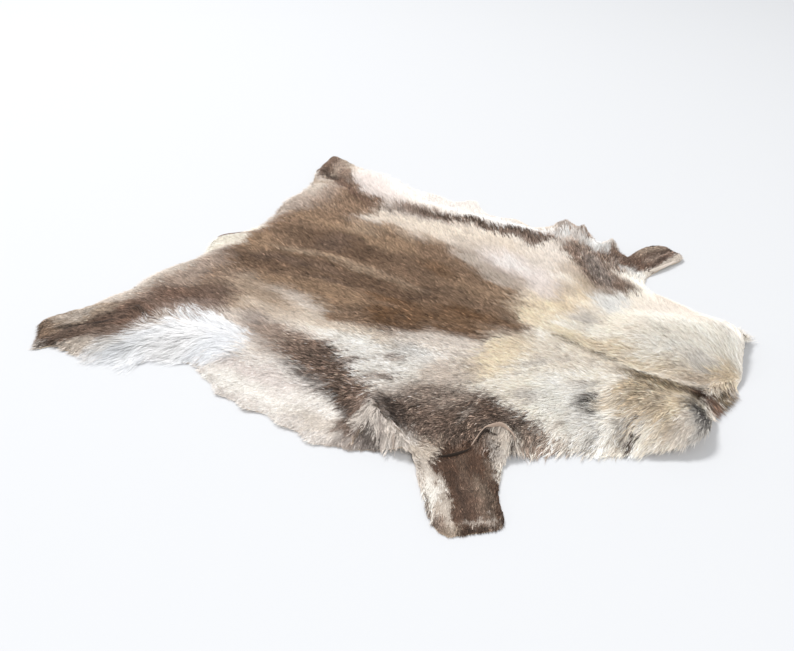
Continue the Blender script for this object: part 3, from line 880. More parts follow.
@dataclass
class Relief:
    """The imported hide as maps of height, read from above and below.

    Attributes:
        cell: Width of a map's cell.
        margin: How far the maps run past the hide.
        lock: Half the width of the locks at the rim, which the cut edge of the skin leaves out.
        trim: How far inside the solid the skin ends where there are no locks.
        blur: How far the solid's facets are smoothed.
        low: The maps' lowest corner.
        under: Height of the solid's underside.
        over: Height of its top.
        inset: How far inside the skin's edge a cell lies.
    """

    cell: float = 0.003
    margin: float = 0.08
    lock: float = 0.0115
    trim: float = 0.005
    blur: float = 0.0065

    FAR = 1.0  # how far above and below the hide its height is measured from
    LOCK_BLUR, TRIM_BLUR = 0.004, 0.002  # how far the edge is smoothed, at locks and elsewhere
    END_SOFT = 0.5  # how gradually the bare ends pass into the rim with locks
    CARRY = 0.03  # how far the heights at the edge are carried on past it
    SEEN, TINY = 1e-3, 1e-9  # shares of a blurred mask that count, and that keep it from nought
    INSIDE = 1.001  # cells from a map's end to the last place that is read
    RIDGE_LIFT = 0.6  # how much of a ridge the skin's underside follows
    LIFTED = 0.002  # height from which the skin counts as lifted off the floor
    LEAST_DEPTH = 0.004  # the coat's depth where it is thinnest
    BELL_ENDS = 3  # how many of its widths a bell curve is followed to either side

    low: Vector = field(init=False)
    under: Array = field(init=False)
    over: Array = field(init=False)
    inset: Array = field(init=False)

    def __post_init__(self) -> None:
        """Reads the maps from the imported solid."""
        low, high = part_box(NODE)
        self.low = Vector((low[0] - self.margin, low[1] - self.margin))
        columns = int((high[0] - low[0] + 2 * self.margin) / self.cell) + 1
        rows = int((high[1] - low[1] + 2 * self.margin) / self.cell) + 1
        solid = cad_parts[NODE]
        tree = bvhtree.BVHTree.FromObject(solid, bpy.context.evaluated_depsgraph_get())
        under = np.full((rows, columns), np.nan)
        over = np.full((rows, columns), np.nan)
        for row in range(rows):
            for column in range(columns):
                place = (self.low.x + column * self.cell, self.low.y + row * self.cell)
                hit = tree.ray_cast(Vector((*place, -self.FAR)), Vector((0, 0, 1)))[0]
                if hit is not None:
                    under[row, column] = hit.z
                    top = tree.ray_cast(Vector((*place, self.FAR)), Vector((0, 0, -1)))[0]
                    over[row, column] = top.z if top is not None else hit.z
        covered = ~np.isnan(under)
        self.inset = self.measured_inset(covered)
        body = covered & (self.inset > 0)
        self.under = self.spread(under, body)
        self.over = self.spread(over, body)

    def places(self, mask: Array) -> list[Vector]:
        """The middles of a mask's cells, as points of the plane."""
        rows, columns = np.nonzero(mask)
        return [Vector((c * self.cell, r * self.cell, 0.0)) for r, c in zip(rows, columns)]

    def distances(self, asked: Array, targets: Array) -> Array:
        """Measures the way from cells to the nearest of some others.

        Args:
            asked: A mask of the cells to measure from.
            targets: A mask of the cells to measure to.

        Returns:
            A map of the distances, with 0 at the cells that weren't asked for.
        """
        points = self.places(targets)
        tree = kdtree.KDTree(len(points))
        for index, point in enumerate(points):
            tree.insert(point, index)
        tree.balance()
        found = np.zeros(asked.shape)
        found[asked] = [tree.find(point)[2] for point in self.places(asked)]
        return found

    def measured_inset(self, covered: Array) -> Array:
        """Measures how far inside the skin's edge cells lie, once the locks are taken off.

        Args:
            covered: A mask of the cells that the solid covers.

        Returns:
            A map of the distances, below 0 outside the edge.
        """
        inside = self.distances(covered, self.edge_of(~covered))
        outside = self.distances(~covered, self.edge_of(covered))
        core = inside > self.lock
        apart = self.distances(~core, self.edge_of(core))
        opened = self.blurred(np.where(core, inside, self.lock - apart), self.LOCK_BLUR)
        plain = self.blurred(inside - outside - self.trim, self.TRIM_BLUR)
        x, y = self.cell_places(covered.shape)
        share = np.zeros(len(x))
        for end in BARE_ENDS:
            share = np.maximum(share, end.share(x, y, self.END_SOFT))
        return opened + (plain - opened) * share.reshape(covered.shape)

    def cell_places(self, shape: tuple[int, int]) -> tuple[Array, Array]:
        """Says where the cells of a map lie.

        Args:
            shape: How many rows and columns the map has.

        Returns:
            The places along the spine and across the hide, from the mid-back, row by row.
        """
        across, up = np.meshgrid(np.arange(shape[1]), np.arange(shape[0]))
        x = (self.low.x + across * self.cell - MID_BACK[0]).ravel()
        y = (self.low.y + up * self.cell - MID_BACK[1]).ravel()
        return x, y

    @staticmethod
    def edge_of(mask: Array) -> Array:
        """Finds the cells of a mask that have a neighbour outside it.

        Args:
            mask: The mask.

        Returns:
            A mask of those cells.
        """
        inner = mask.copy()
        for axis in (0, 1):
            for step in (1, -1):
                inner &= np.roll(mask, step, axis)
        return mask & ~inner

    def blurred(self, values: Array, reach: float) -> Array:
        """Smooths a map.

        Args:
            values: The map.
            reach: Width of the bell curve that it is smoothed by.

        Returns:
            The smoothed map.
        """
        sigma = reach / self.cell
        ends = int(self.BELL_ENDS * sigma) + 1
        steps = np.arange(-ends, ends + 1)
        bell = np.exp(-((steps / sigma) ** 2) / 2)
        bell /= bell.sum()
        for axis in (0, 1):
            values = sum(w * np.roll(values, s, axis) for w, s in zip(bell, steps))
        return values

    def spread(self, values: Array, mask: Array) -> Array:
        """Smooths the values in a mask and carries them on past its edge.

        Args:
            values: The map.
            mask: Where its values are known.

        Returns:
            The new map.
        """
        weight = mask.astype(float)
        known = np.where(mask, values, 0.0)
        near = self.blurred(weight, self.blur)
        fine = self.blurred(known, self.blur) / np.maximum(near, self.TINY)
        far = self.blurred(weight, self.CARRY)
        coarse = self.blurred(known, self.CARRY) / np.maximum(far, self.TINY)
        return np.where(near > self.SEEN, fine, np.where(far > self.TINY, coarse, 0.0))

    def read(self, values: Array, x: Array, y: Array) -> Array:
        """Reads a map in between its cells.

        Args:
            values: The map.
            x: Places along X.
            y: Places along Y.

        Returns:
            The map's values there.
        """
        across = np.clip((x - self.low.x) / self.cell, 0, values.shape[1] - self.INSIDE)
        up = np.clip((y - self.low.y) / self.cell, 0, values.shape[0] - self.INSIDE)
        column, row = across.astype(int), up.astype(int)
        u, v = across - column, up - row
        lower = values[row, column] * (1 - u) + values[row, column + 1] * u
        upper = values[row + 1, column] * (1 - u) + values[row + 1, column + 1] * u
        return lower * (1 - v) + upper * v

    @staticmethod
    def creases(x: Array, y: Array) -> Array:
        """Adds up the finer creases.

        Args:
            x: Places along X.
            y: Places along Y.

        Returns:
            What they add to the height there.
        """
        back_x, back_y = x - MID_BACK[0], y - MID_BACK[1]
        added = np.zeros(len(x))
        for crease in CREASES:
            added += crease.height * np.exp(-crease.distance(back_x, back_y) ** 2)
        return added

    def skin(self, x: Array, y: Array) -> Array:
        """Measures the height of the skin's underside.

        Args:
            x: Places along X.
            y: Places along Y.

        Returns:
            Its height there.
        """
        lift = self.read(self.under, x, y)
        ridges = self.RIDGE_LIFT * np.maximum(self.creases(x, y), 0.0)
        return np.maximum(lift + ridges * (lift > self.LIFTED), 0.0)

    def depth(self, x: Array, y: Array) -> Array:
        """Depth of the coat over the skin's underside."""
        full = self.read(self.over, x, y) - self.read(self.under, x, y)
        return np.maximum(full + self.creases(x, y), self.LEAST_DEPTH)


class Flesh:
    """Sizes that the skin, the underfur and the hair share."""

    SKIN = 0.0016  # thickness of the tanned skin
    GAP = 0.0002  # between the skin and the underfur
    FILL = 0.84  # how much of the coat's depth the underfur fills
    SHOULDER = 0.012  # how far in from the skin's edge the underfur reaches its depth
    DROP = 0.045  # how far past the skin's edge the hair comes down to the floor
    DROP_CURVE = 1.5  # how much of that way it hangs close to the edge
    WOOL_DROP = 3.0  # how much sooner than the skin's height the underfur's is left behind
    LEAST_WOOL = 0.0004  # the underfur's depth at its very rim


@dataclass
class Ground:
    """The surfaces that the hair grows on and lies on.

    Attributes:
        relief: The hide's form.
    """

    relief: Relief

    def inset(self, x: Array, y: Array) -> Array:
        """How far inside the skin's edge places lie."""
        return self.relief.read(self.relief.inset, x, y)

    def underfur_depth(self, x: Array, y: Array) -> Array:
        """Measures how deep the underfur is over the skin.

        Args:
            x: Places along X.
            y: Places along Y.

        Returns:
            Its depth there.
        """
        rise = 1.0 - np.clip(self.inset(x, y) / Flesh.SHOULDER, 0.0, 1.0)
        full = Flesh.FILL * (self.relief.depth(x, y) - Flesh.SKIN)
        return np.maximum(full * np.sqrt(1.0 - rise**2), Flesh.LEAST_WOOL)

    def top(self, x: Array, y: Array) -> Array:
        """Measures the height of what the hair lies on.

        Args:
            x: Places along X.
            y: Places along Y.

        Returns:
            The height of the underfur's top, and past the skin's edge of what hair falls on.
        """
        past = np.maximum(-self.inset(x, y), 0.0) / Flesh.DROP
        floor = self.relief.skin(x, y) * np.clip(1.0 - past, 0.0, 1.0) ** Flesh.DROP_CURVE
        within = Flesh.SKIN + Flesh.GAP + self.underfur_depth(x, y)
        return floor + within * np.clip(1.0 - Flesh.WOOL_DROP * past, 0.0, 1.0)


def plan_of(shape: bmesh.types.BMesh) -> tuple[Array, Array]:
    """The places of a mesh's points, seen from above."""
    flat = np.array([(vert.co.x, vert.co.y) for vert in shape.verts])
    return flat[:, 0], flat[:, 1]


KEPT_PAST = 0.3  # how far past the outline a grid's points are kept, in steps of the grid
RIM_PULLS = 4  # how often the rim is drawn towards the outline
SLOPE_REACH = 0.003  # how far to either side the way to the outline is felt for
LEAST_SLOPE = 0.25  # the least slope, squared, that the rim follows
FIRST_GAP = 0.001  # what a slab's top is raised by at first


def trimmed_grid(ground: Ground, step: float) -> bmesh.types.BMesh:
    """Makes a flat grid that is cut to the outline of the skin.

    Args:
        ground: The hide's surfaces.
        step: The grid's spacing.

    Returns:
        The grid, with its rim drawn onto the outline.
    """
    low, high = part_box(NODE)
    half = (high - low) / 2
    middle = (high + low) / 2
    grid = bmesh.new()
    bmesh.ops.create_grid(
        grid, x_segments=round(2 * half.x / step), y_segments=round(2 * half.y / step), size=1.0
    )
    width = max(vert.co.x for vert in grid.verts)
    bmesh.ops.scale(grid, vec=(half.x / width, half.y / width, 1.0), verts=grid.verts)
    bmesh.ops.translate(grid, vec=(middle.x, middle.y, 0.0), verts=grid.verts)
    outside = ground.inset(*plan_of(grid)) < -KEPT_PAST * step
    doomed = [vert for vert, out in zip(grid.verts, outside) if out]
    bmesh.ops.delete(grid, geom=doomed, context="VERTS")
    loose = [vert for vert in grid.verts if not vert.link_faces]
    bmesh.ops.delete(grid, geom=loose, context="VERTS")
    rim = [vert for vert in grid.verts if vert.is_boundary]
    x, y = (np.array([vert.co[axis] for vert in rim]) for axis in (0, 1))
    reach = SLOPE_REACH
    for _ in range(RIM_PULLS):
        short = ground.inset(x, y)
        slope_x = (ground.inset(x + reach, y) - ground.inset(x - reach, y)) / (2 * reach)
        slope_y = (ground.inset(x, y + reach) - ground.inset(x, y - reach)) / (2 * reach)
        steep = np.maximum(slope_x**2 + slope_y**2, LEAST_SLOPE)
        x, y = x - short * slope_x / steep, y - short * slope_y / steep
    for vert, place_x, place_y in zip(rim, x, y):
        vert.co.x, vert.co.y = place_x, place_y
    return grid


def thickened(grid: bmesh.types.BMesh, name: str) -> tuple[bpy.types.Object, Array]:
    """Turns a flat grid into a closed slab whose height is still to be set.

    Args:
        grid: The flat grid. It is used up.
        name: The new object's name.

    Returns:
        The object, and for each of its points whether it is on the slab's top.
    """
    raised = bmesh.ops.extrude_face_region(grid, geom=grid.faces[:])
    over = {item for item in raised["geom"] if isinstance(item, bmesh.types.BMVert)}
    bmesh.ops.translate(grid, vec=(0.0, 0.0, FIRST_GAP), verts=list(over))
    bmesh.ops.recalc_face_normals(grid, faces=grid.faces)
    is_over = np.array([vert in over for vert in grid.verts])
    mesh = bpy.data.meshes.new(name)
    grid.to_mesh(mesh)
    grid.free()
    mesh.shade_smooth()
    piece = bpy.data.objects.new(name, mesh)
    bpy.context.scene.collection.objects.link(piece)
    return piece, is_over


def points_of(mesh: bpy.types.Mesh) -> Array:
    """Reads a mesh's points.

    Args:
        mesh: The mesh.

    Returns:
        The points, one row each.
    """
    flat = np.empty(3 * len(mesh.vertices), np.float32)
    mesh.vertices.foreach_get("co", flat)
    return flat.reshape(-1, 3).astype(float)


def set_points(mesh: bpy.types.Mesh, points: Array) -> None:
    """Moves a mesh's points."""
    mesh.vertices.foreach_set("co", points.astype(np.float32).ravel())
    mesh.update()


def paint(mesh: bpy.types.Mesh, colours: Array) -> None:
    """Gives a mesh's points their colours.

    Args:
        mesh: The mesh.
        colours: Linear colours, one row for each point.
    """
    layer = mesh.color_attributes.new(name=COLOUR_LAYER, type="FLOAT_COLOR", domain="POINT")
    full = np.concatenate([np.clip(colours, 0.0, 1.0), np.ones((len(colours), 1))], axis=1)
    layer.data.foreach_set("color", full.astype(np.float32).ravel())


class Nodes:
    """A material's nodes, made and joined in short lines."""

    def __init__(self, name: str) -> None:
        """Starts a material.

        Args:
            name: The material's name.
        """
        self.material = bpy.data.materials.new(name)
        self.material.use_nodes = True
        self.tree = self.material.node_tree
        self.shader = self.tree.nodes["Principled BSDF"]

    def add(self, kind: str, **settings: object) -> bpy.types.Node:
        """Adds a node.

        Args:
            kind: The node's type.
            **settings: Its properties.

        Returns:
            The node.
        """
        node = self.tree.nodes.new(kind)
        for name, value in settings.items():
            setattr(node, name, value)
        return node

    def link(self, start: bpy.types.NodeSocket, end: bpy.types.NodeSocket) -> None:
        """Joins two sockets."""
        self.tree.links.new(start, end)

    def noise(self, scale: float, detail: float) -> bpy.types.NodeSocket:
        """Adds a noise that reads the piece's own coordinates.

        Args:
            scale: How many times it changes over a metre.
            detail: How many finer layers it has.

        Returns:
            The noise, from 0 to 1.
        """
        place = self.add("ShaderNodeTexCoord").outputs["Object"]
        noise = self.add("ShaderNodeTexNoise")
        noise.inputs["Scale"].default_value = scale
        noise.inputs["Detail"].default_value = detail
        self.link(place, noise.inputs["Vector"])
        return noise.outputs["Fac"]

    def ramp(self, value: bpy.types.NodeSocket, low: float, high: float) -> bpy.types.NodeSocket:
        """Maps a value from 0 to 1 onto a range.

        Args:
            value: The value.
            low: What 0 becomes.
            high: What 1 becomes.

        Returns:
            The mapped value.
        """
        ranged = self.add("ShaderNodeMapRange")
        ranged.inputs["To Min"].default_value = low
        ranged.inputs["To Max"].default_value = high
        self.link(value, ranged.inputs["Value"])
        return ranged.outputs["Result"]

    def toned(
        self, colour: bpy.types.NodeSocket, tone: bpy.types.NodeSocket
    ) -> bpy.types.NodeSocket:
        """Multiplies a colour by a grey value.

        Args:
            colour: The colour.
            tone: The grey value.

        Returns:
            The toned colour.
        """
        mix = self.add("ShaderNodeMix", data_type="RGBA", blend_type="MULTIPLY")
        mix.inputs["Factor"].default_value = 1.0
        self.link(colour, mix.inputs["A"])
        self.link(tone, mix.inputs["B"])
        return mix.outputs["Result"]

    def bump(self, height: bpy.types.NodeSocket, strength: float, depth: float) -> None:
        """Raises the surface by a pattern.

        Args:
            height: The pattern.
            strength: How far it shows, from 0 to 1.
            depth: Its depth in metres.
        """
        bump = self.add("ShaderNodeBump")
        bump.inputs["Strength"].default_value = strength
        bump.inputs["Distance"].default_value = depth
        self.link(height, bump.inputs["Height"])
        self.link(bump.outputs["Normal"], self.shader.inputs["Normal"])


@dataclass(frozen=True)
class HairFinish:
    """Winter hair: matt, with a soft sheen, and colours that its strands carry.

    Attributes:
        name: The material's name.
        rough: How matt it is, at its smoothest and at its roughest.
        grain: How many fibres cross a metre.
        layers: How many finer layers the fibres have.
        tone: How dark and how light single fibres are against the hair's colour.
        relief: How far the fibres show as bumps, and how high they are.
        gloss: How much light it mirrors.
        sheen: How much light its fuzz catches.
        fuzz: How matt that sheen is.
    """

    name: str
    rough: tuple[float, float] = (0.55, 0.75)
    grain: float = 900.0
    layers: float = 3.0
    tone: tuple[float, float] = (0.86, 1.12)
    relief: tuple[float, float] = (0.35, 0.0004)
    gloss: float = 0.12
    sheen: float = 0.04
    fuzz: float = 0.6

    def material(self) -> bpy.types.Material:
        """Builds the material.

        Returns:
            The material.
        """
        nodes = Nodes(self.name)
        colour = nodes.add("ShaderNodeAttribute", attribute_name=COLOUR_LAYER).outputs["Color"]
        grain = nodes.noise(self.grain, self.layers)
        toned = nodes.toned(colour, nodes.ramp(grain, *self.tone))
        nodes.link(toned, nodes.shader.inputs["Base Color"])
        nodes.link(nodes.ramp(grain, *self.rough), nodes.shader.inputs["Roughness"])
        nodes.bump(grain, *self.relief)
        nodes.shader.inputs["Specular IOR Level"].default_value = self.gloss
        nodes.shader.inputs["Sheen Weight"].default_value = self.sheen
        nodes.shader.inputs["Sheen Roughness"].default_value = self.fuzz
        return nodes.material


@dataclass(frozen=True)
class SkinFinish:
    """Tanned skin: pale suede, a little blotched, with fine pores.

    Attributes:
        name: The material's name.
        pale: Its main colour.
        deep: The colour of its darker patches.
        blotches: How many patches cross a metre, and how many finer layers they have.
        mixing: How far the patches go from one colour to the other.
        nap: How many tufts of suede cross a metre, and how many finer layers they have.
        tone: How dark and how light the tufts are against the skin's colour.
        rough: How matt it is, at its smoothest and at its roughest.
        relief: How far the tufts show as bumps, and how high they are.
        sheen: How much light its nap catches.
    """

    name: str = "tanned_skin"
    pale: str = "dccbb2"
    deep: str = "bfa383"
    blotches: tuple[float, float] = (9.0, 4.0)
    mixing: tuple[float, float] = (-0.6, 1.7)
    nap: tuple[float, float] = (420.0, 5.0)
    tone: tuple[float, float] = (0.85, 1.12)
    rough: tuple[float, float] = (0.75, 0.95)
    relief: tuple[float, float] = (0.5, 0.0006)
    sheen: float = 0.1

    def material(self) -> bpy.types.Material:
        """Builds the material.

        Returns:
            The material.
        """
        nodes = Nodes(self.name)
        blotch = nodes.noise(*self.blotches)
        mix = nodes.add("ShaderNodeMix", data_type="RGBA")
        mix.inputs["A"].default_value = (*linear(self.deep), 1.0)
        mix.inputs["B"].default_value = (*linear(self.pale), 1.0)
        nodes.link(nodes.ramp(blotch, *self.mixing), mix.inputs["Factor"])
        nap = nodes.noise(*self.nap)
        toned = nodes.toned(mix.outputs["Result"], nodes.ramp(nap, *self.tone))
        nodes.link(toned, nodes.shader.inputs["Base Color"])
        nodes.link(nodes.ramp(nap, *self.rough), nodes.shader.inputs["Roughness"])
        nodes.bump(nap, *self.relief)
        nodes.shader.inputs["Sheen Weight"].default_value = self.sheen
        return nodes.material


@dataclass(frozen=True)
class FloorFinish:
    """A plain studio floor.

    Attributes:
        name: The material's name.
        tone: Its colour.
        rough: How matt it is.
        gloss: How much light it mirrors.
    """

    name: str = "studio_floor"
    tone: str = "cdced0"
    rough: float = 0.9
    gloss: float = 0.1

    def material(self) -> bpy.types.Material:
        """Builds the material.

        Returns:
            The material.
        """
        nodes = Nodes(self.name)
        nodes.shader.inputs["Base Color"].default_value = (*linear(self.tone), 1.0)
        nodes.shader.inputs["Roughness"].default_value = self.rough
        nodes.shader.inputs["Specular IOR Level"].default_value = self.gloss
        return nodes.material


@dataclass
class TannedSkin:
    """The skin, a thin sheet that lies on the floor.

    Attributes:
        ground: The hide's surfaces.
        step: Spacing of its points.
        finish: How it looks.
    """

    ground: Ground
    step: float = 0.0085
    finish: SkinFinish = SkinFinish()

    def build(self) -> bpy.types.Object:
        """Returns:
            The skin.
        """
        skin, is_over = thickened(trimmed_grid(self.ground, self.step), "tanned_skin")
        points = points_of(skin.data)
        points[:, 2] = self.ground.relief.skin(points[:, 0], points[:, 1])
        points[:, 2] += np.where(is_over, Flesh.SKIN, 0.0)
        set_points(skin.data, points)
        skin.data.materials.append(self.finish.material())
        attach(skin, BODY)
        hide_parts(NODE)
        return skin

    @staticmethod
    def area(skin: bpy.types.Object) -> float:
        """The skin's area on one side, as it was before it was laid down in folds."""
        return sum(face.area for face in skin.data.polygons) / 2


STREAK_REACH = 0.7  # how far a tuft carries its colour, as a share of the hair's length
STREAK_LEVEL = 0.3  # the streak of a tuft that carries its colour nowhere
STREAK_TONE = 0.07  # how much the tufts differ in tone
MOTTLES = (
    (Ripple(0.080, 6), 0.04, 0.09),
    (Ripple(0.030, 7), 0.05, 0.14),
    (Ripple(0.011, 8), 0.06, 0.19),
    (Ripple(0.005, 9), 0.05, 0.15),
)  # noises over the coat, and their depths in pale hair and in dark hair


def coat_colours(markings: Markings, lie: HairLie, x: Array, y: Array) -> Array:
    """The coat's colours, streaked along the hair.

    Args:
        markings: The coat's colours.
        lie: How the hair grows.
        x: Places along X.
        y: Places along Y.

    Returns:
        Linear colours, one row for each place.
    """
    back_x, back_y = x - MID_BACK[0], y - MID_BACK[1]
    heading = lie.heading(back_x, back_y)
    streak = lie.streak(back_x, back_y, heading)
    growth = lie.growth(back_x, back_y)
    drawn = (STREAK_REACH * (streak - STREAK_LEVEL)) * growth["hair"]
    colour = markings.at(back_x - drawn * np.cos(heading), back_y - drawn * np.sin(heading))
    dark = darkness(colour)
    tone = STREAK_TONE * streak
    for ripple, pale, deep in MOTTLES:
        tone += (pale + (deep - pale) * dark) * ripple.at(back_x, back_y)
    return colour * np.exp(tone * growth["tick"])[:, None]


@dataclass
class Underfur:
    """The dense wool that fills most of the coat.

    Attributes:
        ground: The hide's surfaces.
        markings: The coat's colours.
        lie: How the hair grows.
        step: Spacing of its points.
        shade: Its tone against the hair over it, in pale hair and in dark hair.
        finish: How it looks.
    """

    ground: Ground
    markings: Markings
    lie: HairLie
    step: float = 0.0072
    shade: tuple[float, float] = (0.84, 0.66)
    finish: HairFinish = HairFinish("underfur", rough=(0.8, 0.95), grain=420.0)

    def build(self) -> bpy.types.Object:
        """Builds the underfur.

        Returns:
            The underfur.
        """
        wool, is_over = thickened(trimmed_grid(self.ground, self.step), "underfur")
        points = points_of(wool.data)
        x, y = points[:, 0], points[:, 1]
        base = self.ground.relief.skin(x, y) + Flesh.SKIN + Flesh.GAP
        points[:, 2] = base + np.where(is_over, self.ground.underfur_depth(x, y), 0.0)
        set_points(wool.data, points)
        colours = coat_colours(self.markings, self.lie, x, y)
        shade = self.shade[0] + (self.shade[1] - self.shade[0]) * darkness(colours)
        paint(wool.data, colours * shade[:, None])
        wool.data.materials.append(self.finish.material())
        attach(wool, BODY)
        return wool


@dataclass(frozen=True)
class Cover:
    """How the strands of one layer differ from the length and lift that the coat has there.

    Attributes:
        reach: Their length, as a share of the coat's.
        rise: How steeply they stand against the coat's own hair.
        bed: Height of their roots over the underfur.
        contrast: How strongly they differ in tone, against the coat's own hair.
        root: Tone of their roots, against the coat's own hair.
    """

    reach: float = 1.0
    rise: float = 1.0
    bed: float = -0.003
    contrast: float = 1.0
    root: float = 1.0


COAT = Cover()
GUARD = Cover(reach=0.62, rise=1.2, bed=0.0012, contrast=1.5, root=0.80)


class Region(Enum):
    """The parts of the coat that are made as patches of their own."""

    NECK = "neck_hair"
    SADDLE = "saddle_hair"
    RUMP = "rump_hair"
    LEFT_SIDE = "left_side_hair"
    RIGHT_SIDE = "right_side_hair"
    RIGHT_THIGH = "right_thigh_hair"
    LEFT_THIGH = "left_thigh_hair"
    SHORT = "leg_and_belly_hair"
    LOCKS = "rim_locks"
    NECK_GUARD = "neck_guard_hair"
    BACK_GUARD = "back_guard_hair"
    FLANK_GUARD = "flank_guard_hair"
    SHORT_GUARD = "leg_and_belly_guard_hair"


@dataclass(frozen=True)
class PatchPlan:
    """How one patch of hair is made.

    Attributes:
        region: Which part of the coat it covers.
        spacing: Distance between the strands' roots.
        width: Width of a strand at its root.
        lock: Distance between the locks that the strands draw into.
        wisp: Distance between the wisps, which are finer than the locks.
        sections: How far along a strand its sections are, from root to tip.
        cover: How its strands differ from the coat's own.
        over: The regions that it covers, if it is a layer over others.
    """

    region: Region
    spacing: float
    width: float
    lock: float
    wisp: float
    sections: tuple[float, ...]
    cover: Cover = COAT
    over: tuple[Region, ...] = ()


SHORT_STRAND = (0.0, 1.0)
LONG_STRAND = (0.0, 0.33, 0.68, 1.0)

PATCHES = (
    PatchPlan(Region.NECK, 0.00160, 0.00130, 0.012, 0.0040, SHORT_STRAND),
    PatchPlan(Region.SADDLE, 0.00165, 0.00145, 0.011, 0.0044, SHORT_STRAND),
    PatchPlan(Region.RUMP, 0.00190, 0.00170, 0.012, 0.0054, SHORT_STRAND),
    PatchPlan(Region.LEFT_SIDE, 0.00185, 0.00170, 0.012, 0.0054, SHORT_STRAND),
    PatchPlan(Region.RIGHT_SIDE, 0.00150, 0.00125, 0.011, 0.0038, SHORT_STRAND),
    PatchPlan(Region.RIGHT_THIGH, 0.00205, 0.00110, 0.016, 0.0050, LONG_STRAND),
    PatchPlan(Region.LEFT_THIGH, 0.00220, 0.00140, 0.016, 0.0055, LONG_STRAND),
    PatchPlan(Region.SHORT, 0.00150, 0.00125, 0.008, 0.0034, SHORT_STRAND),
    PatchPlan(Region.LOCKS, 0.00200, 0.00120, 0.013, 0.0045, LONG_STRAND),
    PatchPlan(
        Region.NECK_GUARD, 0.00320, 0.00210, 0.012, 0.0046, SHORT_STRAND, GUARD,
        (Region.NECK,),
    ),
    PatchPlan(
        Region.BACK_GUARD, 0.00380, 0.00260, 0.012, 0.0056, SHORT_STRAND, GUARD,
        (Region.SADDLE, Region.RUMP, Region.LEFT_SIDE),
    ),
    PatchPlan(
        Region.FLANK_GUARD, 0.00290, 0.00190, 0.011, 0.0042, SHORT_STRAND, GUARD,
        (Region.RIGHT_SIDE,),
    ),
    PatchPlan(
        Region.SHORT_GUARD, 0.00260, 0.00160, 0.008, 0.0036, SHORT_STRAND, GUARD,
        (Region.SHORT,),
    ),
)


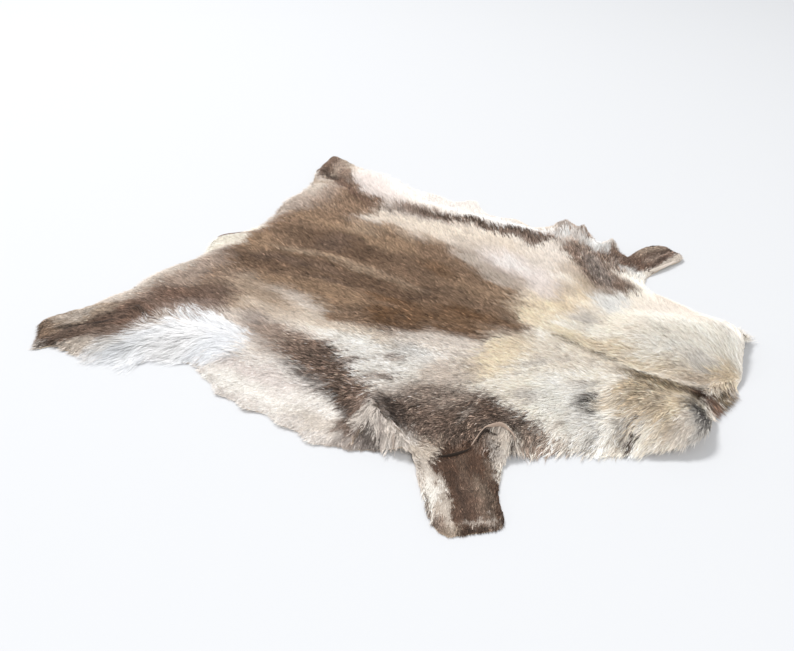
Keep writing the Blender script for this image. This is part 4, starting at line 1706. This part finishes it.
@dataclass
class Strands:
    """A patch of hair, made strand by strand as tapering blades.

    Attributes:
        plan: How it is made.
        ground: The hide's surfaces.
        markings: The coat's colours.
        lie: How the hair grows.
        seed: Which of the many chance patches it is.
    """

    plan: PatchPlan
    ground: Ground
    markings: Markings
    lie: HairLie
    seed: int

    ROOT_INSET = 0.0005  # how far inside the skin's edge the outermost roots are
    SEED_STEP, WISP_SEED = 10, 20  # they keep the chance patterns of the bunches apart
    BUNCH_DRIFT = 0.45  # how far a bunch's middle strays from its cell's
    OWN_TURN, TURN_HOLD = 0.10, 1.2  # how far strands turn alone, in radians, and what holds them
    LENGTHS = (0.16, 0.5, 1.5)  # how much they differ in length, and the shortest and longest
    STANDS = (0.55, 1.0)  # how high single strands stand against what they may
    LOCK_STAND = 0.25  # how much the locks differ in that
    SWINGS = (0.6, 0.4)  # how much of the wave a lock does together, and a strand alone
    OWN_PHASE = 0.3  # how far the strands' waves are out of step
    WIDTHS = (0.75, 1.25)  # how much the strands differ in width
    STRAY = 0.40  # how far a strand carries another place's colour, as a share of its length
    ASIDE = 0.0015  # how far to either side it takes that colour from
    OWN_STRAY = 0.4  # how much of both is the strand's own and not its wisp's
    WISP_PULL = 0.55  # how far the strands of a wisp draw together at their tips
    WISP_TONE = (0.09, 0.32)  # how much the wisps differ in tone, in pale hair and in dark hair
    WISP_TURN = 0.22  # how much the wisps differ in heading, in radians
    ROLL = 0.30  # how far the strands roll about their own length, in radians
    TONE = (0.08, 0.28)  # how much the strands differ in tone, in pale hair and in dark hair
    LOCK_TONE = 0.06  # how much the locks differ in tone
    LOCK_TURN = 0.10  # how much the locks differ in heading, in radians
    ROOT_TONE = (0.80, 0.60)  # tone at the root of smooth hair and of hair in locks
    PALE_ROOT = 0.65  # how far the darker root shows in pale hair
    DARK_ROOT = 0.25  # how much darker still the root is in dark hair
    TIP_TONE, TIP_FROM = 1.10, 1.4  # tone at the tip, and how soon it is reached
    SPARE_DEPTH = 2.2  # how much deeper than the coat's own depth the hair may stand
    DRAW_CURVE = 1.3  # how much of the way into a lock is made close to the tip
    WISP_YIELD = 0.5  # how far the wisps give way to the locks
    SWAYS = 2.2  # half waves along a strand
    FLAT = 0.94  # how much of a strand's length is seen from above
    ARCH = 0.62  # how much of a half wave its height follows
    BED_FADE = 3  # how soon the height of its root over the underfur is left behind
    TAPER = 2.2  # how long a strand keeps its width
    LEAST_MIDDLE, LEAST_EDGE = 0.0008, 0.0004  # heights over the floor
    FIELD_SIDES, FIELD_TIP = [0.15, 0.85], [0.5]  # places across its field on the bake's map
    FIELD_START, FIELD_RUN = 0.04, 0.92  # and along it
    SLIM = 5.0  # how much longer than wide those fields are

    def roots(
        self, wanted: Array, low: Vector, chance: np.random.Generator
    ) -> tuple[Array, Array]:
        """Scatters roots evenly where they are wanted.

        Args:
            wanted: A map of the relief's cells that says where this patch grows.
            low: The map's corner.
            chance: The source of chance.

        Returns:
            Their places along X and Y.
        """
        rows, columns = wanted.shape
        cell = self.ground.relief.cell
        spacing = self.plan.spacing
        across = np.arange(0, columns * cell, spacing)
        up = np.arange(0, rows * cell, spacing * math.sqrt(3) / 2)
        x, y = (grid.ravel() for grid in np.meshgrid(across, up))
        x = x + np.repeat(np.arange(len(up)) % 2, len(across)) * spacing / 2
        x = x + chance.uniform(-0.5, 0.5, len(x)) * spacing
        y = y + chance.uniform(-0.5, 0.5, len(x)) * spacing
        column = np.clip((x / cell).round().astype(int), 0, columns - 1)
        row = np.clip((y / cell).round().astype(int), 0, rows - 1)
        kept = wanted[row, column]
        x, y = x[kept] + low.x, y[kept] + low.y
        inside = self.ground.inset(x, y) > self.ROOT_INSET
        return x[inside], y[inside]

    def bunch_of(self, x: Array, y: Array, size: float, seed: int) -> tuple[Array, ...]:
        """Finds the bunch that each strand draws into.

        Args:
            x: The roots' places along X.
            y: The roots' places along Y.
            size: Distance between the bunches.
            seed: Which of the many chance patterns it is.

        Returns:
            The way to the bunch's middle along X and Y, and two chance values of the bunch.
        """
        columns, rows = np.floor(x / size), np.floor(y / size)
        chances = [Ripple(1.0, seed * self.SEED_STEP + k) for k in range(4)]
        best = np.full(len(x), np.inf)
        found = [np.zeros(len(x)) for _ in range(4)]
        for side in (-1, 0, 1):
            for rise in (-1, 0, 1):
                c, r = columns + side, rows + rise
                way_x = (c + 0.5 + self.BUNCH_DRIFT * chances[0].corner(c, r)) * size - x
                way_y = (r + 0.5 + self.BUNCH_DRIFT * chances[1].corner(c, r)) * size - y
                apart = way_x**2 + way_y**2
                nearer = apart < best
                best = np.where(nearer, apart, best)
                values = (way_x, way_y, chances[2].corner(c, r), chances[3].corner(c, r))
                found = [np.where(nearer, new, old) for new, old in zip(values, found)]
        return tuple(found)

    def build(self, wanted: Array) -> bpy.types.Object:
        """Builds the patch.

        Args:
            wanted: A map of the relief's cells that says where this patch grows.

        Returns:
            The patch as one mesh.
        """
        chance = np.random.default_rng(self.seed)
        plan = self.plan
        x, y = self.roots(wanted, self.ground.relief.low, chance)
        count = len(x)
        back_x, back_y = x - MID_BACK[0], y - MID_BACK[1]
        growth = self.lie.growth(back_x, back_y)
        to_x, to_y, lock_turn, lock_tone = self.bunch_of(x, y, plan.lock, self.seed)
        wisp_seed = self.seed + self.WISP_SEED
        wisp_x, wisp_y, wisp_turn, wisp_tone = self.bunch_of(x, y, plan.wisp, wisp_seed)
        heading = self.lie.heading(back_x, back_y) + self.LOCK_TURN * lock_turn
        heading += self.WISP_TURN * wisp_turn
        own_turn = self.OWN_TURN * chance.standard_normal(count)
        heading += own_turn * (self.TURN_HOLD - growth["clump"])
        ahead_x, ahead_y = np.cos(heading), np.sin(heading)
        spread, shortest, longest = self.LENGTHS
        own_length = 1.0 + spread * chance.standard_normal(count)
        length = growth["hair"] * np.clip(own_length, shortest, longest)
        length *= plan.cover.reach
        spare = (1 - Flesh.FILL) * self.SPARE_DEPTH * self.ground.relief.depth(x, y)
        stand = np.minimum(growth["lift"] * length / plan.cover.reach, spare)
        stand *= plan.cover.rise * (1 + self.LOCK_STAND * lock_tone)
        stand *= chance.uniform(*self.STANDS, count)
        together, alone = self.SWINGS
        swing = together * lock_turn + alone * chance.standard_normal(count)
        swing = growth["wave"] * swing
        phase = chance.uniform(0, 2 * math.pi, count) * self.OWN_PHASE + lock_tone * math.pi
        roll = self.ROLL * chance.standard_normal(count)
        side = np.stack([-ahead_y * np.cos(roll), ahead_x * np.cos(roll), np.sin(roll)], axis=1)
        wide = plan.width * chance.uniform(*self.WIDTHS, count)
        own_stray = wisp_tone + self.OWN_STRAY * chance.standard_normal(count)
        stray = self.STRAY * growth["hair"] * own_stray
        aside = self.ASIDE * (wisp_turn + self.OWN_STRAY * chance.standard_normal(count))
        colour = coat_colours(
            self.markings,
            self.lie,
            x - stray * ahead_x - aside * ahead_y,
            y - stray * ahead_y + aside * ahead_x,
        )
        dark = darkness(colour)
        ticking = self.TONE[0] + (self.TONE[1] - self.TONE[0]) * dark
        bunching = self.WISP_TONE[0] + (self.WISP_TONE[1] - self.WISP_TONE[0]) * dark
        tone = ticking * chance.standard_normal(count) + bunching * wisp_tone
        tone = np.exp((plan.cover.contrast * tone + self.LOCK_TONE * lock_tone) * growth["tick"])
        colour = colour * tone[:, None]
        root_tone = self.ROOT_TONE[0] + (self.ROOT_TONE[1] - self.ROOT_TONE[0]) * growth["clump"]
        root_tone = (plan.cover.root * root_tone) ** (self.PALE_ROOT + (1 - self.PALE_ROOT) * dark)
        root_tone *= 1.0 - self.DARK_ROOT * dark
        rings, tones = [], []
        for t in plan.sections:
            pull = growth["clump"] * t**self.DRAW_CURVE
            draw = self.WISP_PULL * (1.0 - self.WISP_YIELD * growth["clump"]) * t
            sway = swing * t * np.sin(phase + self.SWAYS * math.pi * t)
            at_x = x + length * t * ahead_x * self.FLAT + pull * to_x + draw * wisp_x
            at_y = y + length * t * ahead_y * self.FLAT + pull * to_y + draw * wisp_y
            at_x, at_y = at_x - sway * ahead_y, at_y + sway * ahead_x
            height = self.ground.top(at_x, at_y) + stand * math.sin(math.pi * self.ARCH * t)
            height += plan.cover.bed * (1.0 - t) ** self.BED_FADE
            middle = np.stack([at_x, at_y, np.maximum(height, self.LEAST_MIDDLE)], axis=1)
            half = side * (wide * (1.0 - t**self.TAPER) / 2)[:, None]
            shade = root_tone + (self.TIP_TONE - root_tone) * min(1.0, t * self.TIP_FROM)
            rings += [middle] if t == 1.0 else [middle - half, middle + half]
            tones += [shade] * (1 if t == 1.0 else 2)
        points = np.stack(rings, axis=1)
        points[:, :, 2] = np.maximum(points[:, :, 2], self.LEAST_EDGE)
        colours = colour[:, None, :] * np.stack(tones, axis=1)[:, :, None]
        return self.mesh(points, colours)

    def mesh(self, points: Array, colours: Array) -> bpy.types.Object:
        """Joins the strands into one mesh.

        Args:
            points: For each strand its points, in pairs from the root and then the tip.
            colours: For each of those points its colour.

        Returns:
            The patch as an object.
        """
        name = self.plan.region.value
        count, each = points.shape[:2]
        steps = len(self.plan.sections) - 1
        loops, starts = [], []
        for step in range(steps - 1):
            starts.append(len(loops))
            loops += [2 * step, 2 * step + 1, 2 * step + 3, 2 * step + 2]
        starts.append(len(loops))
        loops += [each - 3, each - 2, each - 1]
        first = (np.arange(count) * each)[:, None]
        mesh = bpy.data.meshes.new(name)
        mesh.vertices.add(count * each)
        mesh.vertices.foreach_set("co", points.astype(np.float32).ravel())
        mesh.loops.add(count * len(loops))
        numbers = first + np.array(loops)
        mesh.loops.foreach_set("vertex_index", numbers.astype(np.int32).ravel())
        mesh.polygons.add(count * steps)
        begin = (np.arange(count) * len(loops))[:, None] + np.array(starts)
        mesh.polygons.foreach_set("loop_start", begin.astype(np.int32).ravel())
        mesh.update(calc_edges=True)
        self.lay_out(mesh, count, np.array(loops))
        paint(mesh, colours.reshape(-1, 3))
        mesh.shade_smooth()
        mesh.materials.append(HairFinish(name).material())
        piece = bpy.data.objects.new(name, mesh)
        bpy.context.scene.collection.objects.link(piece)
        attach(piece, BODY)
        return piece

    def lay_out(self, mesh: bpy.types.Mesh, count: int, loops: Array) -> None:
        """Gives each strand a slim field of its own on the map that a bake uses.

        Args:
            mesh: The patch's mesh.
            count: How many strands it has.
            loops: The points round one strand's faces.
        """
        columns = math.ceil(math.sqrt(count * self.SLIM))
        rows = math.ceil(count / columns)
        index = np.arange(count)
        sections = self.plan.sections
        left = np.array(self.FIELD_SIDES * (len(sections) - 1) + self.FIELD_TIP)
        along = np.repeat(np.array(sections[:-1]), 2).tolist() + [1.0]
        u = (index % columns)[:, None] + left[loops]
        v = (index // columns)[:, None] + self.FIELD_START
        v = v + self.FIELD_RUN * np.array(along)[loops]
        places = np.stack([u / columns, v / rows], axis=2)
        layer = mesh.uv_layers.new(name=BAKE_MAP)
        layer.uv.foreach_set("vector", places.astype(np.float32).ravel())


class HairCoat:
    """The whole coat of hair, patch by patch."""

    THIGHS = {  # where their long hair grows
        Region.RIGHT_THIGH: Spot(-0.37, -0.43, 40, 0.17, 0.115),
        Region.LEFT_THIGH: Spot(-0.38, 0.44, -20, 0.14, 0.07),
    }
    SHORT_HAIR = 0.0135  # hair shorter than this is in the short patch
    LOCKED = 0.42  # hair that draws together more than this is in the patch of locks
    NECK_LINE, RUMP_LINE = 0.24, -0.38  # where the saddle ends along the spine
    SIDE_LINE = 0.19  # and across it
    EDGE, DRIFT = Ripple(0.03, 21), 0.01  # how the borders between the patches wander
    THIGH_DRIFT = 4  # how much more the thighs' borders do, in shares of their size

    def __init__(self, ground: Ground, markings: Markings) -> None:
        """Notes what the patches grow on.

        Args:
            ground: The hide's surfaces.
            markings: The coat's colours.
        """
        self.ground = ground
        self.markings = markings
        self.lie = HairLie()

    def regions(self) -> dict[Region, Array]:
        """Says for each cell of the relief which patch grows there.

        Returns:
            For each region a mask of its cells.
        """
        relief = self.ground.relief
        x, y = relief.cell_places(relief.inset.shape)
        edge = self.EDGE.at(x, y) * self.DRIFT
        free = np.ones(len(x), bool)
        found: dict[Region, Array] = {}

        def take(region: Region, mask: Array) -> None:
            """Gives a region the free places of a mask.

            Args:
                region: The region.
                mask: The places, row by row.
            """
            nonlocal free
            found[region] = (mask & free).reshape(relief.inset.shape)
            free = free & ~mask

        for region, spot in self.THIGHS.items():
            take(region, spot.distance(x, y) + self.THIGH_DRIFT * edge < 1.0)
        take(Region.SHORT, self.lie.growth(x, y)["hair"] < self.SHORT_HAIR)
        take(Region.LOCKS, self.lie.growth(x, y)["clump"] > self.LOCKED)
        take(Region.NECK, x + edge > self.NECK_LINE)
        take(Region.RUMP, x + edge < self.RUMP_LINE)
        take(Region.LEFT_SIDE, y + edge > self.SIDE_LINE)
        take(Region.RIGHT_SIDE, y + edge < -self.SIDE_LINE)
        take(Region.SADDLE, free)
        return found

    def build(self) -> None:
        """Builds every patch."""
        wanted = self.regions()
        for seed, plan in enumerate(PATCHES, start=1):
            strands = Strands(plan, self.ground, self.markings, self.lie, seed)
            covered = [wanted[region] for region in plan.over or (plan.region,)]
            piece = strands.build(np.logical_or.reduce(covered))
            count = len(piece.data.polygons) // (len(plan.sections) - 1)
            log.info("%s: %d strands", piece.name, count)


class NarrowFolds:
    """The narrow rolls and slits of the skin's edge, as one mesh."""

    STEPS, SIDES = 24, 4  # the points of each, along it and across
    GRAIN = 300.0  # how many fibres cross a metre
    ROUNDING = 0.08  # how far its bends are rounded, as a share of its length
    LEAST_HEIGHT = 0.0006  # over the floor

    def __init__(self, ground: Ground) -> None:
        """Notes what they lie on.

        Args:
            ground: The hide's surfaces.
        """
        self.ground = ground

    def points(self, fold: Fold, along: Array, across: Array) -> Array:
        """Lays one of them along its curve.

        Args:
            fold: Which one.
            along: How far along it each point is, from 0 to 1.
            across: How far to its side each point is, from -1 to 1.

        Returns:
            The points.
        """
        path = np.array(fold.path) + np.array(MID_BACK)
        knots = np.linspace(0.0, 1.0, len(path))
        shifts = (-self.ROUNDING, 0.0, self.ROUNDING)
        near = [np.clip(along + shift, 0.0, 1.0) for shift in shifts]
        east, north = (
            [np.interp(place, knots, path[:, axis]) for place in near] for axis in (0, 1)
        )
        x, y = sum(east) / len(shifts), sum(north) / len(shifts)
        ahead = (east[2] - east[0], north[2] - north[0])
        size = np.hypot(*ahead)
        half = fold.width / 2 * np.sqrt(np.maximum(np.sin(math.pi * along), 0.0))
        x = x - ahead[1] / size * half * across
        y = y + ahead[0] / size * half * across
        round_off = np.sqrt(np.maximum(1.0 - across**2, 0.0)) - 1.0
        z = self.ground.top(x, y) + fold.height + half * round_off
        return np.stack([x, y, np.maximum(z, self.LEAST_HEIGHT)], axis=1)

    def build(self) -> bpy.types.Object:
        """Builds them all.

        Returns:
            The mesh as an object.
        """
        shape = bmesh.new()
        points, colours = [], []
        for fold in FOLDS:
            made = bmesh.ops.create_grid(
                shape, x_segments=self.STEPS, y_segments=self.SIDES, size=1.0
            )["verts"]
            along = np.array([vert.co.x for vert in made])
            across = np.array([vert.co.y for vert in made])
            along = (along - along.min()) / (along.max() - along.min())
            points.append(self.points(fold, along, across / across.max()))
            colours.append(np.tile(np.array(linear(fold.shade.value)), (len(made), 1)))
        mesh = bpy.data.meshes.new("narrow_folds")
        shape.to_mesh(mesh)
        shape.free()
        set_points(mesh, np.concatenate(points))
        paint(mesh, np.concatenate(colours))
        mesh.shade_smooth()
        mesh.materials.append(HairFinish("narrow_folds", grain=self.GRAIN).material())
        piece = bpy.data.objects.new("narrow_folds", mesh)
        bpy.context.scene.collection.objects.link(piece)
        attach(piece, BODY)
        return piece


@dataclass(frozen=True)
class Studio:
    """The camera, the floor and the lights.

    Attributes:
        eye: Where the camera is, from the mid-back.
        turn: Which way it faces, in degrees from the spine's left side.
        dip: How far it looks down.
        lens: Its focal length in millimetres on a frame of the sensor's width.
        sensor: The sensor's width in millimetres.
        rise: How far the frame is shifted, as a share of its width.
    """

    eye: tuple[float, float, float] = (0.7412, -1.3795, 1.008)
    turn: float = 30.8
    dip: float = 35.4
    lens: float = 37.09
    sensor: float = 36.0
    rise: float = 0.0107

    FLOOR_HALF, FLOOR_DROP = 15.0, 0.0002  # half its width, and how far it is under the hide
    KEY_LIGHT = ((-4.1, 1.3, 7.4), 2.8, 600.0)  # its place, width and watts
    FILL_LIGHT = ((3.7, -3.9, 6.0), 4.5, 320.0)
    ROOM_LIGHT, ROOM_STRENGTH = (0.97, 0.985, 1.0, 1.0), 0.52

    def camera(self) -> None:
        """Places the camera."""
        data = bpy.data.cameras.new("camera")
        data.lens = self.lens
        data.sensor_width = self.sensor
        data.shift_y = self.rise
        camera = bpy.data.objects.new("camera", data)
        x, y, z = self.eye
        camera.location = (x + MID_BACK[0], y + MID_BACK[1], z)
        camera.rotation_euler = (math.radians(90 - self.dip), 0.0, math.radians(self.turn))
        bpy.context.scene.collection.objects.link(camera)
        bpy.context.scene.camera = camera

    def floor(self) -> None:
        """Lays the floor."""
        shape = bmesh.new()
        bmesh.ops.create_grid(shape, x_segments=1, y_segments=1, size=self.FLOOR_HALF)
        bmesh.ops.translate(shape, vec=(0.0, 0.0, -self.FLOOR_DROP), verts=shape.verts)
        mesh = bpy.data.meshes.new("studio_floor")
        shape.to_mesh(mesh)
        shape.free()
        mesh.materials.append(FloorFinish().material())
        floor = bpy.data.objects.new("studio_floor", mesh)
        bpy.context.scene.collection.objects.link(floor)

    @staticmethod
    def softbox(
        name: str, place: tuple[float, float, float], size: float, power: float
    ) -> None:
        """Hangs a soft light that faces the hide.

        Args:
            name: The light's name.
            place: Where it hangs.
            size: Its width.
            power: Its power in watts.
        """
        data = bpy.data.lights.new(name, "AREA")
        data.shape = "DISK"
        data.size = size
        data.energy = power
        light = bpy.data.objects.new(name, data)
        light.location = place
        light.rotation_euler = Vector(place).to_track_quat("Z", "Y").to_euler()
        bpy.context.scene.collection.objects.link(light)

    def lights(self) -> None:
        """Hangs the lights and sets the room's own light."""
        self.softbox("key_light", *self.KEY_LIGHT)
        self.softbox("fill_light", *self.FILL_LIGHT)
        world = bpy.data.worlds.new("studio")
        world.use_nodes = True
        background = world.node_tree.nodes["Background"]
        background.inputs["Color"].default_value = self.ROOM_LIGHT
        background.inputs["Strength"].default_value = self.ROOM_STRENGTH
        bpy.context.scene.world = world
        bpy.context.scene.view_settings.view_transform = "Standard"

    def build(self) -> None:
        """Sets up the whole studio."""
        self.camera()
        self.floor()
        self.lights()


def main() -> None:
    """Builds the hide and the studio, and notes the sizes."""
    logging.basicConfig(level=logging.INFO, format="%(name)s: %(message)s")
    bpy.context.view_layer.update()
    Studio().build()
    ground = Ground(Relief())
    log.info("relief read")
    markings = Markings()
    skin = TannedSkin(ground).build()
    log.info("%s: %d faces", skin.name, len(skin.data.polygons))
    wool = Underfur(ground, markings, HairLie()).build()
    log.info("%s: %d faces", wool.name, len(wool.data.polygons))
    HairCoat(ground, markings).build()
    folds = NarrowFolds(ground).build()
    log.info("%s: %d faces", folds.name, len(folds.data.polygons))


if __name__ == "__main__":
    main()
